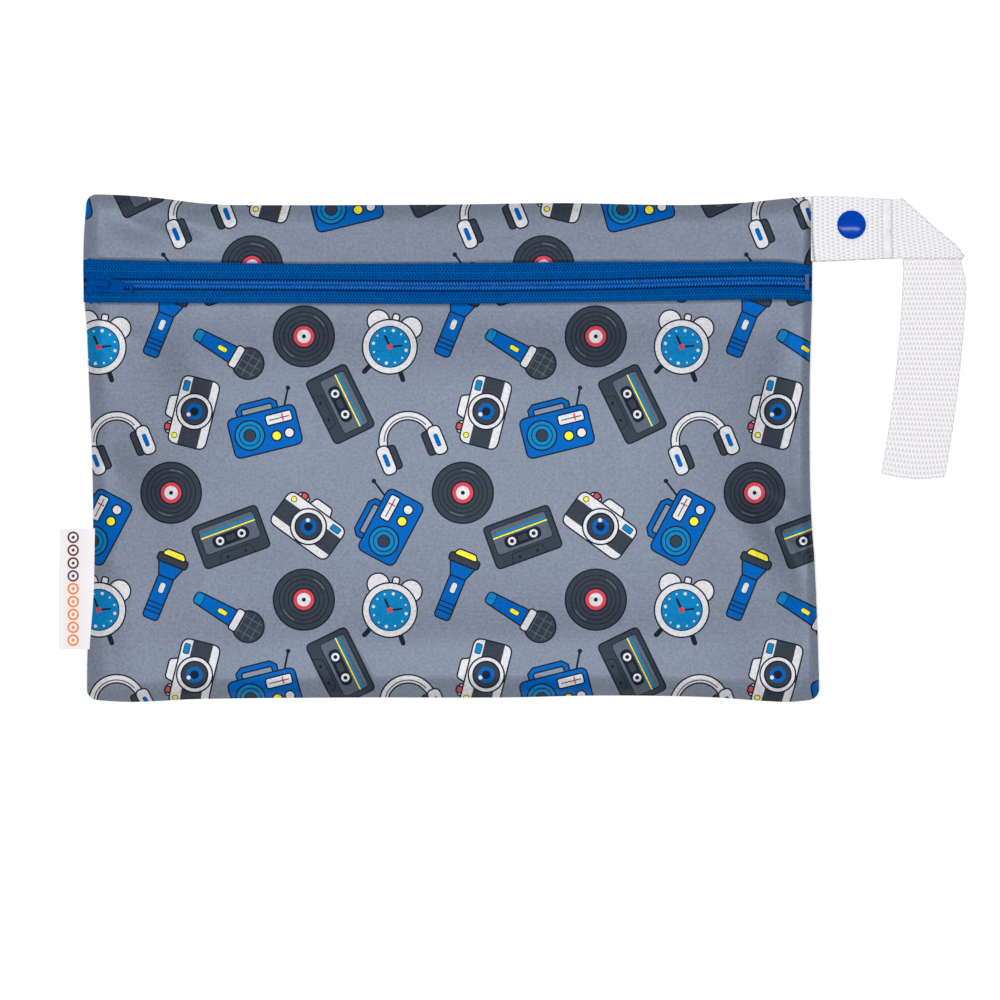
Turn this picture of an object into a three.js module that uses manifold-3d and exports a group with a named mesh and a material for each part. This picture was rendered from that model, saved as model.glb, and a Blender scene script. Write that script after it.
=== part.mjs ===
// A flat zip pouch for damp cloth nappies, lying on its back. Two panels of laminated knit cloth
// are sewn to each other round the edge, and the front one is cut across for a coil zip. A strip
// of webbing is sewn into the right-hand seam, folded round a corner and snapped back on itself
// as a hanging loop, and a blank folded label is sewn into the left-hand seam.
// Frame: X runs across the pouch, Y towards the edge that the zip is near, and Z up. The origin
// is the middle of the back panel, on the surface that the pouch lies on. Lengths are millimetres.
import * as THREE from 'three';
import { mergeVertices } from 'three/addons/utils/BufferGeometryUtils.js';
import Module from 'manifold-3d';

const { PI, abs, cos, exp, hypot, max, min, sin, sqrt, tan } = Math;
const wasm = await Module();
wasm.setup();

// Driving dimensions of the pouch
const POUCH_WIDTH = 279;
const POUCH_LENGTH = 190;
const CORNER_RADIUS = 4;
const FABRIC = 1; // thickness of one cloth wall
const GAP = 0.3; // air between two pieces that touch or are sewn together
const SEAM_HEIGHT = 3; // the side seam's height above the surface the pouch lies on
const EDGE_ROLL = 2.6; // how far in from the outline the cloth turns over
const EDGE_RISE = 3.2; // how far the front cloth rises above the seam in that turn
const CROWN = 5; // how much higher the front stands in its middle
const CROWN_POWER = 2.2;
const SEAM_RIDGE = 0.5; // the swelling that the seam allowance makes inside the edge
const RIDGE_SETBACK = 7;
const RIDGE_WIDTH = 4;

// Driving dimensions of the zip
const ZIP_SETBACK = 31; // from the top edge to the middle of the coils
const TAPE_SHOWN = 8; // tape that shows on each side of that line
const TAPE_TUCK = 5; // tape that is hidden under each panel
const TAPE_THICKNESS = 0.7;
const TAPE_SPLIT = 0.3; // air between the two tapes under the closed coils
const ZIP_DIP = 0.6; // how far the front is drawn down along the zip
const ZIP_DIP_FADE = 10;
const COIL_WIDTH = 2.1;
const COIL_HEIGHT = 1.4;
const STOP_LENGTH = 1.6;
const STOP_THICKNESS = 0.5;
const STOP_SETBACK = 2.3; // from the right outline to the middle of the end stop

// Driving dimensions of the slider and its pull tab
const SLIDER_LENGTH = 9.6;
const SLIDER_WIDTH = 7.8;
const SLIDER_NOSE = 6.2; // width at the end where the closed coils come out
const SLIDER_SETBACK = 6.3; // from the left outline to the slider's middle
const SLIDER_YAW = -4; // degrees that the slider is turned in plan
const PLATE = 1.1;
const PLATE_ROUNDING = 1.2;
const BOTTOM_SETBACK = 1.5; // how much sooner the slider's bottom plate ends than its top plate
const FLANGE = 0.6;
const FLANGE_STOP = 2.4; // how far short of the slider's nose its flanges end
const SLIDER_PLAY = 0.5; // air round the coils and the tape inside the slider
const NECK_WIDTH = 1.2;
const CROWN_BAR = 0.9;
const BRIDGE_WIDTH = 2.2;
const BRIDGE_HEIGHT = 3;
const BRIDGE_LENGTH = 8.4;
const TAB_LENGTH = 15;
const TAB_WIDTH = 6.8;
const TAB_END_WIDTH = 3.4;
const TAB_THICKNESS = 1.1;
const TAB_BAR = 1.1; // the tab's cross bar, which turns under the bridge
const TAB_WINDOW = 5.4;
const TAB_SIDE = 1.5; // width of the tab's metal on each side of the window
const TAB_ROUNDING = 0.9;
const TAB_SLOT = { length: 2.2, width: 1.6, setback: 1.2 };
const PIVOT_HEIGHT = 1.05; // of the cross bar's middle above the slider's top plate
const PIVOT_OFFSET = -1; // of the cross bar from the slider's middle

// Driving dimensions of the webbing handle
const WEB_WIDTH = 25;
const WEB_THICKNESS = 1;
const WEB_RUN = 45.6; // from the pouch to the middle of the diagonal fold
const WEB_DROP = 94.5; // from there to the end of the loop
const WEB_SETBACK = 9.5; // from the pouch's top edge to the middle of the strip
const WEB_HEM = 29.5; // length of the free end that is folded back on top
const WEB_TURN = 90; // degrees that the diagonal fold turns the strip by
const WEB_BULGE = 1.8; // how far a fold over several layers stands out past its crease
const WEB_DRAWN_IN = 0.045; // share of its width that the strip loses where it runs down
const WEB_SWAY = 8.2; // how far the loop's end has drifted sideways
const WEB_BOW = 1.2; // how far the loop's end bulges in its middle
const SEWN_IN = 3; // how far the strip and the label go into the side seam

// Driving dimensions of the snap and the label
const SNAP_SETBACK = 14.7; // from the pouch's edge to the snap
const SNAP_OFFSET = 1.3; // of the snap above the strip's middle line
const SNAP_DIAMETER = 11;
const SNAP_CAP = 1.3;
const SNAP_CORE_DIAMETER = 9;
const SNAP_CORE = 3;
const SNAP_POST = 1.6; // radius
const LABEL_WIDTH = 46.5;
const LABEL_REACH = 12.5;
const LABEL_THICKNESS = 1;
const LABEL_SETBACK = 18.8; // from the pouch's bottom edge to the label

// The outline's waves. at is the place along the edge, from -1 to 1, left to right or bottom to
// top, and out is how far the cloth stands out there, as a share of the pouch's length for the
// top and bottom edges and of its width for the sides.
const TOP_EDGE = [
  { at: -1, out: 0.021 }, { at: -0.91, out: 0.0193 }, { at: -0.8, out: 0.0132 },
  { at: -0.69, out: 0.003 }, { at: -0.58, out: -0.001 }, { at: 0, out: 0 },
  { at: 0.3, out: 0.003 }, { at: 0.63, out: -0.001 }, { at: 0.8, out: 0.003 },
  { at: 0.91, out: 0.011 }, { at: 1, out: 0.017 },
];
const BOTTOM_EDGE = [
  { at: -1, out: 0.003 }, { at: -0.88, out: 0.008 }, { at: -0.69, out: 0.002 },
  { at: -0.25, out: -0.001 }, { at: 0.14, out: -0.001 }, { at: 0.41, out: -0.005 },
  { at: 0.69, out: -0.002 }, { at: 0.91, out: 0.008 }, { at: 1, out: 0.002 },
];
const LEFT_EDGE = [
  { at: -1, out: 0.001 }, { at: -0.8, out: 0 }, { at: -0.6, out: -0.005 },
  { at: -0.27, out: -0.0076 }, { at: 0.02, out: -0.0055 }, { at: 0.31, out: -0.0014 },
  { at: 0.51, out: 0.0014 }, { at: 0.65, out: 0.0055 }, { at: 0.85, out: 0.0055 },
  { at: 1, out: 0.002 },
];
const RIGHT_EDGE = [
  { at: -1, out: 0.0097 }, { at: -0.71, out: 0.0069 }, { at: -0.44, out: 0.0028 },
  { at: -0.27, out: -0.0014 }, { at: -0.08, out: -0.0035 }, { at: 0.31, out: -0.0035 },
  { at: 0.61, out: -0.0007 }, { at: 1, out: 0 },
];

// The zip's waves across the pouch. up moves the coils, as a share of the pouch's length, and
// above and below are the tape that shows on each side, as shares of TAPE_SHOWN.
const ZIP_LINE = [
  { at: -1, up: 0.002, above: 1.17, below: 0.87 }, { at: -0.69, up: 0, above: 1.08, below: 0.87 },
  { at: -0.41, up: -0.001, above: 1.01, below: 0.86 }, { at: 0, up: -0.003, above: 1.08, below: 0.84 },
  { at: 0.41, up: 0, above: 1.08, below: 0.82 }, { at: 0.69, up: 0.006, above: 0.93, below: 0.88 },
  { at: 0.91, up: 0.008, above: 0.91, below: 0.89 }, { at: 1, up: 0.005, above: 0.8, below: 0.92 },
];

// Soft folds and hollows of the front. across and up are the middle, as shares of the half width
// and half length; long and wide are shares of the pouch's length, turn is degrees from X, and
// rise is a share of CROWN.
const FOLDS = [
  { across: -0.72, up: 0.94, long: 0.07, wide: 0.035, turn: -28, rise: 0.16 },
  { across: -0.8, up: 0.86, long: 0.08, wide: 0.03, turn: -35, rise: -0.2 },
  { across: -0.84, up: 0.42, long: 0.17, wide: 0.06, turn: 118, rise: -0.2 },
  { across: -0.7, up: 0.36, long: 0.15, wide: 0.05, turn: 124, rise: 0.1 },
  { across: -0.93, up: -0.08, long: 0.1, wide: 0.045, turn: 140, rise: -0.2 },
  { across: -0.9, up: -0.62, long: 0.18, wide: 0.05, turn: 96, rise: 0.1 },
  { across: 0.9, up: -0.34, long: 0.085, wide: 0.024, turn: -52, rise: -0.24 },
  { across: 0.94, up: -0.22, long: 0.08, wide: 0.026, turn: -35, rise: 0.14 },
  { across: 0.86, up: -0.46, long: 0.13, wide: 0.04, turn: -60, rise: 0.1 },
  { across: 0.92, up: 0.4, long: 0.15, wide: 0.04, turn: 80, rise: -0.12 },
  { across: 0, up: -0.9, long: 1.1, wide: 0.04, turn: 0, rise: 0.09 },
  { across: 0.1, up: -0.76, long: 1, wide: 0.05, turn: 1, rise: -0.08 },
];
const FOLD_FADE = 9; // a fold dies out over this distance from the outline

// Where the curved stretch at the outline is cut, as shares of its width, and how finely the rest is
const EDGE_STEPS = [0, 0.08, 0.3, 0.62, 1];
const COLUMNS = 20;
const PANEL_ROWS = { lower: 10, upper: 3, back: 6 };
const COIL_STATIONS = 26;
const WEB_STATION = 8; // length of strip from one cut across it to the next
const BEND_STEPS = 6;

const halfWidth = POUCH_WIDTH / 2;
const halfLength = POUCH_LENGTH / 2;
const degrees = PI / 180;
const DIAGONAL = 1 - Math.SQRT1_2; // how far an arc's middle stands in from both of its tangents

const mix = (a, b, share) => a + (b - a) * share;
const clamp = (value, low, high) => max(low, min(high, value));

function ease(share) {
  const t = clamp(share, 0, 1);
  return t * t * (3 - 2 * t);
}

// One column of a table, on a smooth curve through its rows.
function read(table, column, at) {
  const last = table.length - 1;
  if (at <= table[0].at) return table[0][column];
  if (at >= table[last].at) return table[last][column];
  const i = table.findIndex((row) => row.at > at) - 1;
  const slope = (k) => {
    const before = table[max(k - 1, 0)];
    const after = table[min(k + 1, last)];
    return (after[column] - before[column]) / (after.at - before.at);
  };
  const span = table[i + 1].at - table[i].at;
  const t = (at - table[i].at) / span;
  const bend = slope(i) * t * (1 - t) ** 2 - slope(i + 1) * t * t * (1 - t);
  return mix(table[i][column], table[i + 1][column], t * t * (3 - 2 * t)) + span * bend;
}

// The pouch's outline before its corners are rounded. u is the place across, from -1 to 1.
const leftLine = (y) => -halfWidth - POUCH_WIDTH * read(LEFT_EDGE, 'out', y / halfLength);
const rightLine = (y) => halfWidth + POUCH_WIDTH * read(RIGHT_EDGE, 'out', y / halfLength);
const topLine = (u) => halfLength + POUCH_LENGTH * read(TOP_EDGE, 'out', u);
const bottomLine = (u) => -halfLength - POUCH_LENGTH * read(BOTTOM_EDGE, 'out', u);

// How far a corner's arc stands in from one side line, at a distance from the other one.
function arcIn(reach, radius) {
  const near = max(reach, radius * DIAGONAL);
  return near >= radius ? 0 : radius - sqrt(radius ** 2 - (radius - near) ** 2);
}

// The ends of a column of the outline, drawn in by inset all round.
function columnEnds(u, inset) {
  const radius = CORNER_RADIUS - inset;
  const corner = radius * DIAGONAL;
  const reach = corner + ((1 - abs(u)) / 2) * (POUCH_WIDTH - 2 * inset - 2 * corner);
  const drop = inset + arcIn(reach, radius);
  return { bottom: bottomLine(u) + drop, top: topLine(u) - drop };
}

// Where the point of column u at height y lies, with its distances from the side lines and the
// outline. inset draws the outline in, for a wall's inner face or a piece that lies inside it.
function placeOn(u, y, inset) {
  const fromEnds = min(topLine(u) - y, y - bottomLine(u));
  const side = inset + arcIn(fromEnds - inset, CORNER_RADIUS - inset);
  const x = mix(leftLine(y) + side, rightLine(y) - side, (u + 1) / 2);
  const fromSides = min(x - leftLine(y), rightLine(y) - x);
  const overSide = CORNER_RADIUS - fromSides;
  const overEnd = CORNER_RADIUS - fromEnds;
  const inCorner = overSide > 0 && overEnd > 0;
  const fromOutline = inCorner ? CORNER_RADIUS - hypot(overSide, overEnd) : min(fromSides, fromEnds);
  return { x, y, fromSides, fromEnds, fromOutline: max(0, fromOutline - inset) };
}

function foldsAt(x, y) {
  return FOLDS.reduce((sum, fold) => {
    const dx = x - fold.across * halfWidth;
    const dy = y - fold.up * halfLength;
    const turn = fold.turn * degrees;
    const along = (dx * cos(turn) + dy * sin(turn)) / (fold.long * POUCH_LENGTH);
    const aside = (dy * cos(turn) - dx * sin(turn)) / (fold.wide * POUCH_LENGTH);
    return sum + CROWN * fold.rise * exp(-(along ** 2) - aside ** 2);
  }, 0);
}

// The middle of the coils and the two panels' edges along the zip, at column u.
function zipAt(u) {
  const coils = halfLength - ZIP_SETBACK + POUCH_LENGTH * read(ZIP_LINE, 'up', u);
  return {
    coils,
    upper: coils + TAPE_SHOWN * read(ZIP_LINE, 'above', u),
    lower: coils - TAPE_SHOWN * read(ZIP_LINE, 'below', u),
  };
}

// The front's height. Its turn at the outline is a quarter of an ellipse, and inset shrinks it.
function frontHeight(place, u, inset) {
  const { x, y, fromSides, fromEnds, fromOutline } = place;
  const turned = 1 - min(1, fromOutline / (EDGE_ROLL - inset));
  const roll = (EDGE_RISE - inset) * sqrt(1 - turned ** 2);
  const swell = (distance, half) => 1 - (1 - clamp(distance / half, 0, 1)) ** CROWN_POWER;
  const crown = CROWN * swell(fromSides, halfWidth) * swell(fromEnds, halfLength);
  const depth = fromOutline + inset;
  const awayFromZip = ease((abs(y - zipAt(u).coils) - TAPE_SHOWN) / ZIP_DIP_FADE);
  const ridge = SEAM_RIDGE * exp(-(((depth - RIDGE_SETBACK) / RIDGE_WIDTH) ** 2));
  const inland = ease(depth / FOLD_FADE);
  const soft = awayFromZip * (inland * (foldsAt(x, y) + ridge) + inland * ZIP_DIP);
  return SEAM_HEIGHT + GAP / 2 + roll + crown + soft;
}

// The back's height: flat on the floor, with the same kind of turn up to the seam.
function backHeight(place, inset) {
  const rise = SEAM_HEIGHT - GAP / 2;
  const turned = 1 - min(1, place.fromOutline / (EDGE_ROLL - inset));
  return rise - (rise - inset) * sqrt(1 - turned ** 2);
}

// Distances from one end of a stretch to the other, finely cut where the cloth turns at an end
// that is sewn.
function stations(from, to, count, inset, sewnFrom, sewnTo) {
  const roll = EDGE_ROLL - inset;
  const start = EDGE_STEPS.map((step) => from + step * roll);
  const end = EDGE_STEPS.map((step) => to - step * roll).reverse();
  const first = sewnFrom ? start.pop() : from;
  const last = sewnTo ? end.shift() : to;
  const middle = Array.from({ length: count + 1 }, (_, k) => mix(first, last, k / count));
  return [...(sewnFrom ? start : []), ...middle, ...(sewnTo ? end : [])];
}

// The columns of a sheet, drawn in by inset.
function columns(inset, count = COLUMNS) {
  const span = POUCH_WIDTH - 2 * inset;
  return stations(0, span, count, inset, true, true).map((distance) => (2 * distance) / span - 1);
}

// A closed slab between two grids of points, face[i][j] and back[i][j].
function slab(face, back) {
  const rows = face.length;
  const across = face[0].length;
  const points = [...face.flat(), ...back.flat()];
  const index = [];
  const at = (side, i, j) => side * rows * across + i * across + j;
  const quad = (a, b, c, d) => index.push(a, b, c, a, c, d);
  for (let i = 0; i < rows - 1; i++) {
    for (let j = 0; j < across - 1; j++) {
      quad(at(0, i, j), at(0, i + 1, j), at(0, i + 1, j + 1), at(0, i, j + 1));
      quad(at(1, i, j), at(1, i, j + 1), at(1, i + 1, j + 1), at(1, i + 1, j));
    }
  }
  for (let i = 0; i < rows - 1; i++) {
    quad(at(0, i, 0), at(1, i, 0), at(1, i + 1, 0), at(0, i + 1, 0));
    quad(at(0, i + 1, across - 1), at(1, i + 1, across - 1), at(1, i, across - 1), at(0, i, across - 1));
  }
  for (let j = 0; j < across - 1; j++) {
    quad(at(0, 0, j + 1), at(1, 0, j + 1), at(1, 0, j), at(0, 0, j));
    quad(at(0, rows - 1, j), at(1, rows - 1, j), at(1, rows - 1, j + 1), at(0, rows - 1, j + 1));
  }
  const geometry = new THREE.BufferGeometry().setFromPoints(points);
  geometry.setIndex(index);
  return outward(geometry);
}

// The geometry with its faces turned outwards.
function outward(geometry) {
  const position = geometry.attributes.position;
  const index = geometry.index.array;
  const corner = (k) => new THREE.Vector3().fromBufferAttribute(position, index[k]);
  let volume = 0;
  for (let k = 0; k < index.length; k += 3) {
    volume += corner(k).dot(corner(k + 1).cross(corner(k + 2)));
  }
  if (volume < 0) {
    for (let k = 0; k < index.length; k += 3) [index[k + 1], index[k + 2]] = [index[k + 2], index[k + 1]];
  }
  return geometry;
}

function solidOf(geometry) {
  const bare = geometry.clone();
  bare.deleteAttribute('normal');
  bare.deleteAttribute('uv');
  const merged = mergeVertices(bare, 1e-4);
  return new wasm.Manifold(
    new wasm.Mesh({
      numProp: 3,
      vertProperties: merged.attributes.position.array,
      triVerts: new Uint32Array(merged.index.array),
    }),
  );
}

function geometryOf(solid) {
  const mesh = solid.getMesh();
  const geometry = new THREE.BufferGeometry();
  geometry.setAttribute('position', new THREE.BufferAttribute(mesh.vertProperties, 3));
  geometry.setIndex(new THREE.BufferAttribute(mesh.triVerts, 1));
  return geometry;
}

const join = (geometries) =>
  geometryOf(geometries.map(solidOf).reduce((whole, solid) => whole.add(solid)));
const cut = (geometry, tools) =>
  geometryOf(tools.map(solidOf).reduce((rest, tool) => rest.subtract(tool), solidOf(geometry)));

// A cloth wall that follows a height function, with rows given by a function of the column.
function sheet(rowsAt, heightAt, outerInset, innerInset, across) {
  const face = (inset) =>
    columns(inset, across).map((u) =>
      rowsAt(u, inset).map((y) => {
        const place = placeOn(u, y, inset);
        return new THREE.Vector3(place.x, place.y, heightAt(place, u, inset));
      }),
    );
  return slab(face(outerInset), face(innerInset));
}

function lowerFrontPanel() {
  const rowsAt = (u, inset) =>
    stations(columnEnds(u, inset).bottom, zipAt(u).lower, PANEL_ROWS.lower, inset, true, false);
  return sheet(rowsAt, frontHeight, 0, FABRIC);
}

function upperFrontPanel() {
  const rowsAt = (u, inset) =>
    stations(zipAt(u).upper, columnEnds(u, inset).top, PANEL_ROWS.upper, inset, false, true);
  return sheet(rowsAt, frontHeight, 0, FABRIC);
}

function backPanel() {
  const rowsAt = (u, inset) => {
    const { bottom, top } = columnEnds(u, inset);
    return stations(bottom, top, PANEL_ROWS.back, inset, true, true);
  };
  return sheet(rowsAt, (place, u, inset) => backHeight(place, inset), 0, FABRIC);
}

// The slider's middle, which the tapes part round, and the level of the tape there.
const sliderX = leftLine(zipAt(-1).coils) + SLIDER_SETBACK;
const acrossAt = (x) => x / halfWidth;
const sliderY = zipAt(acrossAt(sliderX)).coils;
const neckX = sliderX - SLIDER_LENGTH / 4;
const tapeInset = FABRIC + GAP;

function tapeLevel(x, y) {
  const u = acrossAt(x);
  return frontHeight(placeOn(u, y, tapeInset), u, tapeInset);
}

// Half of the air between the two tapes at x: wide at the slider's neck, and narrow under the coils.
function splitAt(x) {
  const closed = ease((x - neckX - NECK_WIDTH) / (SLIDER_LENGTH / 4));
  return mix(NECK_WIDTH / 2 + GAP, TAPE_SPLIT / 2, closed);
}

function tape(side) {
  const rowsAt = (u) => {
    const zip = zipAt(u);
    const near = zip.coils + side * splitAt(u * halfWidth);
    const far = (side > 0 ? zip.upper : zip.lower) + side * TAPE_TUCK;
    return [near, mix(near, far, 1 / 2), far];
  };
  return sheet(rowsAt, frontHeight, tapeInset, tapeInset + TAPE_THICKNESS);
}

// One coil, as the rounded bar that its turns fill.
function coil(side) {
  const from = sliderX + NECK_WIDTH / 2;
  const to = halfWidth - STOP_SETBACK + STOP_LENGTH / 2 - STOP_THICKNESS - GAP;
  const shape = [-1, -0.8, -0.3, 0.3, 0.8, 1];
  const stretch = Array.from({ length: COIL_STATIONS + 1 }, (_, k) => mix(from, to, k / COIL_STATIONS));
  const lay = (heightOver) =>
    stretch.map((x) =>
      shape.map((share) => {
        const middle = zipAt(acrossAt(x)).coils;
        const y = middle + side * (splitAt(x) + (COIL_WIDTH * (share + 1)) / 2);
        return new THREE.Vector3(x, y, tapeLevel(x, middle) + GAP + heightOver(share));
      }),
    );
  const rounded = (share) => COIL_HEIGHT * (0.4 + 0.6 * sqrt(1 - share ** 2));
  return slab(lay(rounded), lay(() => 0));
}

function box(width, length, height, x, y, z) {
  return new THREE.BoxGeometry(width, length, height).translate(x, y, z);
}

// The clamp that stops the slider at the right end of the coils.
function endStop() {
  const x = halfWidth - STOP_SETBACK;
  const middle = zipAt(acrossAt(x)).coils;
  const inside = COIL_WIDTH * 2 + TAPE_SPLIT + GAP * 2;
  const height = COIL_HEIGHT + STOP_THICKNESS + GAP;
  const level = tapeLevel(x, middle) + GAP;
  const width = inside + 2 * STOP_THICKNESS;
  const lid = level + height - STOP_THICKNESS / 2;
  const endX = x + (STOP_LENGTH - STOP_THICKNESS) / 2;
  const top = box(STOP_LENGTH, width, STOP_THICKNESS, x, middle, lid);
  const end = box(STOP_THICKNESS, width, height, endX, middle, level + height / 2);
  return join([top, end]);
}

// The outline of a plate with rounded corners whose width changes from one end to the other.
function taperedOutline(from, to, widthFrom, widthTo, rounding) {
  const outline = new THREE.Shape();
  outline.moveTo(from + rounding, -widthFrom / 2);
  outline.lineTo(to - rounding, -widthTo / 2);
  outline.quadraticCurveTo(to, -widthTo / 2, to, -widthTo / 2 + rounding);
  outline.lineTo(to, widthTo / 2 - rounding);
  outline.quadraticCurveTo(to, widthTo / 2, to - rounding, widthTo / 2);
  outline.lineTo(from + rounding, widthFrom / 2);
  outline.quadraticCurveTo(from, widthFrom / 2, from, widthFrom / 2 - rounding);
  outline.lineTo(from, -widthFrom / 2 + rounding);
  outline.quadraticCurveTo(from, -widthFrom / 2, from + rounding, -widthFrom / 2);
  return outline;
}

function plateOf(outline, z, thickness) {
  const extruded = { depth: thickness, bevelEnabled: false, curveSegments: 4 };
  return new THREE.ExtrudeGeometry(outline, extruded).translate(0, 0, z);
}

// Heights in the slider's own frame, whose origin is on the tape under the slider's middle.
const plateUnderside = GAP + COIL_HEIGHT + SLIDER_PLAY;
const plateTop = plateUnderside + PLATE;
const pivotLevel = plateTop + PIVOT_HEIGHT;

// The arch on the slider's top plate that the pull tab hangs on.
function bridge() {
  const half = BRIDGE_LENGTH / 2;
  const sunk = PLATE / 2;
  const arch = new THREE.Shape();
  arch.moveTo(-half, -sunk);
  arch.bezierCurveTo(-half, BRIDGE_HEIGHT * 0.9, -half * 0.7, BRIDGE_HEIGHT, 0, BRIDGE_HEIGHT);
  arch.bezierCurveTo(half * 0.7, BRIDGE_HEIGHT, half, BRIDGE_HEIGHT * 0.9, half, -sunk);
  arch.lineTo(half - CROWN_BAR, -sunk);
  const inner = BRIDGE_HEIGHT - CROWN_BAR;
  arch.bezierCurveTo(half - CROWN_BAR, inner * 0.9, half * 0.6, inner, 0, inner);
  arch.bezierCurveTo(-half * 0.6, inner, CROWN_BAR - half, inner * 0.9, CROWN_BAR - half, -sunk);
  const extruded = { depth: BRIDGE_WIDTH, bevelEnabled: false, curveSegments: 6 };
  const solid = new THREE.ExtrudeGeometry(arch, extruded);
  return solid.rotateX(PI / 2).translate(0, BRIDGE_WIDTH / 2, plateTop);
}

function slider() {
  const half = SLIDER_LENGTH / 2;
  const from = BOTTOM_SETBACK - half;
  const under = -TAPE_THICKNESS - SLIDER_PLAY - PLATE;
  const shape = (end) => taperedOutline(end, half, SLIDER_WIDTH, SLIDER_NOSE, PLATE_ROUNDING);
  const topPlate = plateOf(shape(-half), plateUnderside, PLATE);
  const bottomPlate = plateOf(shape(from), under, PLATE);
  const neckHeight = plateTop - under - PLATE;
  const neck = box(NECK_WIDTH, NECK_WIDTH, neckHeight, neckX - sliderX, 0, (plateTop + under) / 2);
  const flange = (side) => {
    const wall = new THREE.Shape();
    wall.moveTo(from, (side * SLIDER_WIDTH) / 2);
    wall.lineTo(from, side * (SLIDER_WIDTH / 2 - FLANGE));
    wall.lineTo(half - FLANGE_STOP, side * (SLIDER_NOSE / 2 - FLANGE / 2));
    wall.lineTo(half - FLANGE_STOP, (side * SLIDER_NOSE) / 2);
    const low = GAP + SLIDER_PLAY / 2;
    const depth = plateTop - PLATE / 2 - low;
    const solid = new THREE.ExtrudeGeometry(wall, { depth, bevelEnabled: false });
    return solid.translate(0, 0, low);
  };
  return join([topPlate, bottomPlate, neck, flange(-1), flange(1), bridge()]);
}

// The pull tab, in a frame whose origin is its cross bar's middle, with the tab along X.
function pullTab() {
  const start = -TAB_BAR / 2;
  const outline = taperedOutline(start, TAB_LENGTH + start, TAB_WIDTH, TAB_END_WIDTH, TAB_ROUNDING);
  const window = new THREE.Path();
  const from = start + TAB_BAR;
  const to = from + TAB_WINDOW;
  const halfWindow = TAB_WIDTH / 2 - TAB_SIDE;
  window.moveTo(from, -halfWindow);
  window.lineTo(to, -halfWindow);
  window.quadraticCurveTo(to + halfWindow / 2, 0, to, halfWindow);
  window.lineTo(from, halfWindow);
  window.closePath();
  const slotTo = TAB_LENGTH + start - TAB_SLOT.setback;
  const slotFrom = slotTo - TAB_SLOT.length;
  const slot = new THREE.Path();
  slot.moveTo(slotFrom, -TAB_SLOT.width / 2);
  slot.lineTo(slotTo, -TAB_SLOT.width / 2);
  slot.lineTo(slotTo, TAB_SLOT.width / 2);
  slot.lineTo(slotFrom, TAB_SLOT.width / 2);
  slot.closePath();
  outline.holes.push(window, slot);
  return plateOf(outline, -TAB_THICKNESS / 2, TAB_THICKNESS);
}

// The webbing handle: one strip that runs out from the seam, folds under itself on a diagonal,
// runs down, turns back at the loop's end, and comes back over itself to a folded hem on top.
const webPitch = WEB_THICKNESS + GAP; // from one layer's middle to the next
const webStart = halfWidth - SEWN_IN;
const webMiddle = topLine(1) - WEB_SETBACK - WEB_WIDTH / 8;
const webSlant = tan(((180 - WEB_TURN) / 2) * degrees);
const hemEdge = halfWidth + GAP + (webPitch + WEB_THICKNESS) / 2;
const layerLevel = (layer) => WEB_THICKNESS / 2 + layer * webPitch;

// The straight runs in order along the strip, each with the fold that ends it. slant leans the fold
// line across the strip, radius is half the height between the two layers, and side says which face
// the strip turns towards. The last run ends free.
const cornerReach = SEWN_IN + WEB_RUN;
const FOLD_LIST = [
  { length: cornerReach, slant: -webSlant, radius: webPitch / 2, side: -1 },
  { length: WEB_DROP, slant: 0, radius: webPitch / 2, side: 1 },
  { length: WEB_DROP, slant: webSlant, radius: (3 * webPitch) / 2, side: 1 },
  { length: webStart + cornerReach - hemEdge, slant: 0, radius: webPitch / 2, side: -1 },
  { length: WEB_HEM, slant: 0, radius: 0, side: 1 },
];

// A bend is half an ellipse, as high as the layers that it folds round and pressed flat in plan.
const bendReach = (fold) => min(fold.radius, WEB_BULGE);
const bendMean = (fold) => (fold.radius + bendReach(fold)) / 2;
const bendLength = (fold) => PI * bendMean(fold) * hypot(1, fold.slant);

// How far each layer stands above or below its place in the flat stack, so that the strip reaches
// the seam at one end and lies over the snap's parts near it.
const snapX = halfWidth + SNAP_SETBACK;
const snapY = webMiddle + SNAP_OFFSET;
const firstLayerAtSnap = SNAP_CAP + GAP + WEB_THICKNESS / 2;
const coreLevel = firstLayerAtSnap + WEB_THICKNESS / 2 + GAP;
const backLayerAtSnap = coreLevel + SNAP_CORE + GAP + WEB_THICKNESS / 2;

function liftAt(x, layer) {
  const restFrom = snapX + SNAP_DIAMETER / 2;
  const restTo = halfWidth + WEB_RUN - WEB_WIDTH * 0.55;
  const settled = ease((x - restFrom) / (restTo - restFrom));
  if (layer === 0) {
    const atSnap = firstLayerAtSnap - layerLevel(2);
    const atSeam = SEAM_HEIGHT - layerLevel(2);
    const fromSeam = ease((x - halfWidth) / (SNAP_SETBACK - SNAP_CORE_DIAMETER / 2));
    return mix(mix(atSeam, atSnap, fromSeam), 0, settled);
  }
  return layer < 3 ? 0 : mix(backLayerAtSnap - layerLevel(3), 0, settled);
}

// A frame that the strip lies flat in, and the point at a along it, b across it and c above it.
const flatFrame = (origin, along, across, normal) => ({
  along,
  across,
  normal,
  at: (a, b, c) =>
    origin.clone().addScaledVector(along, a).addScaledVector(across, b).addScaledVector(normal, c),
});

const mirrored = (vector, toward) => vector.clone().addScaledVector(toward, -2 * vector.dot(toward));

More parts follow.
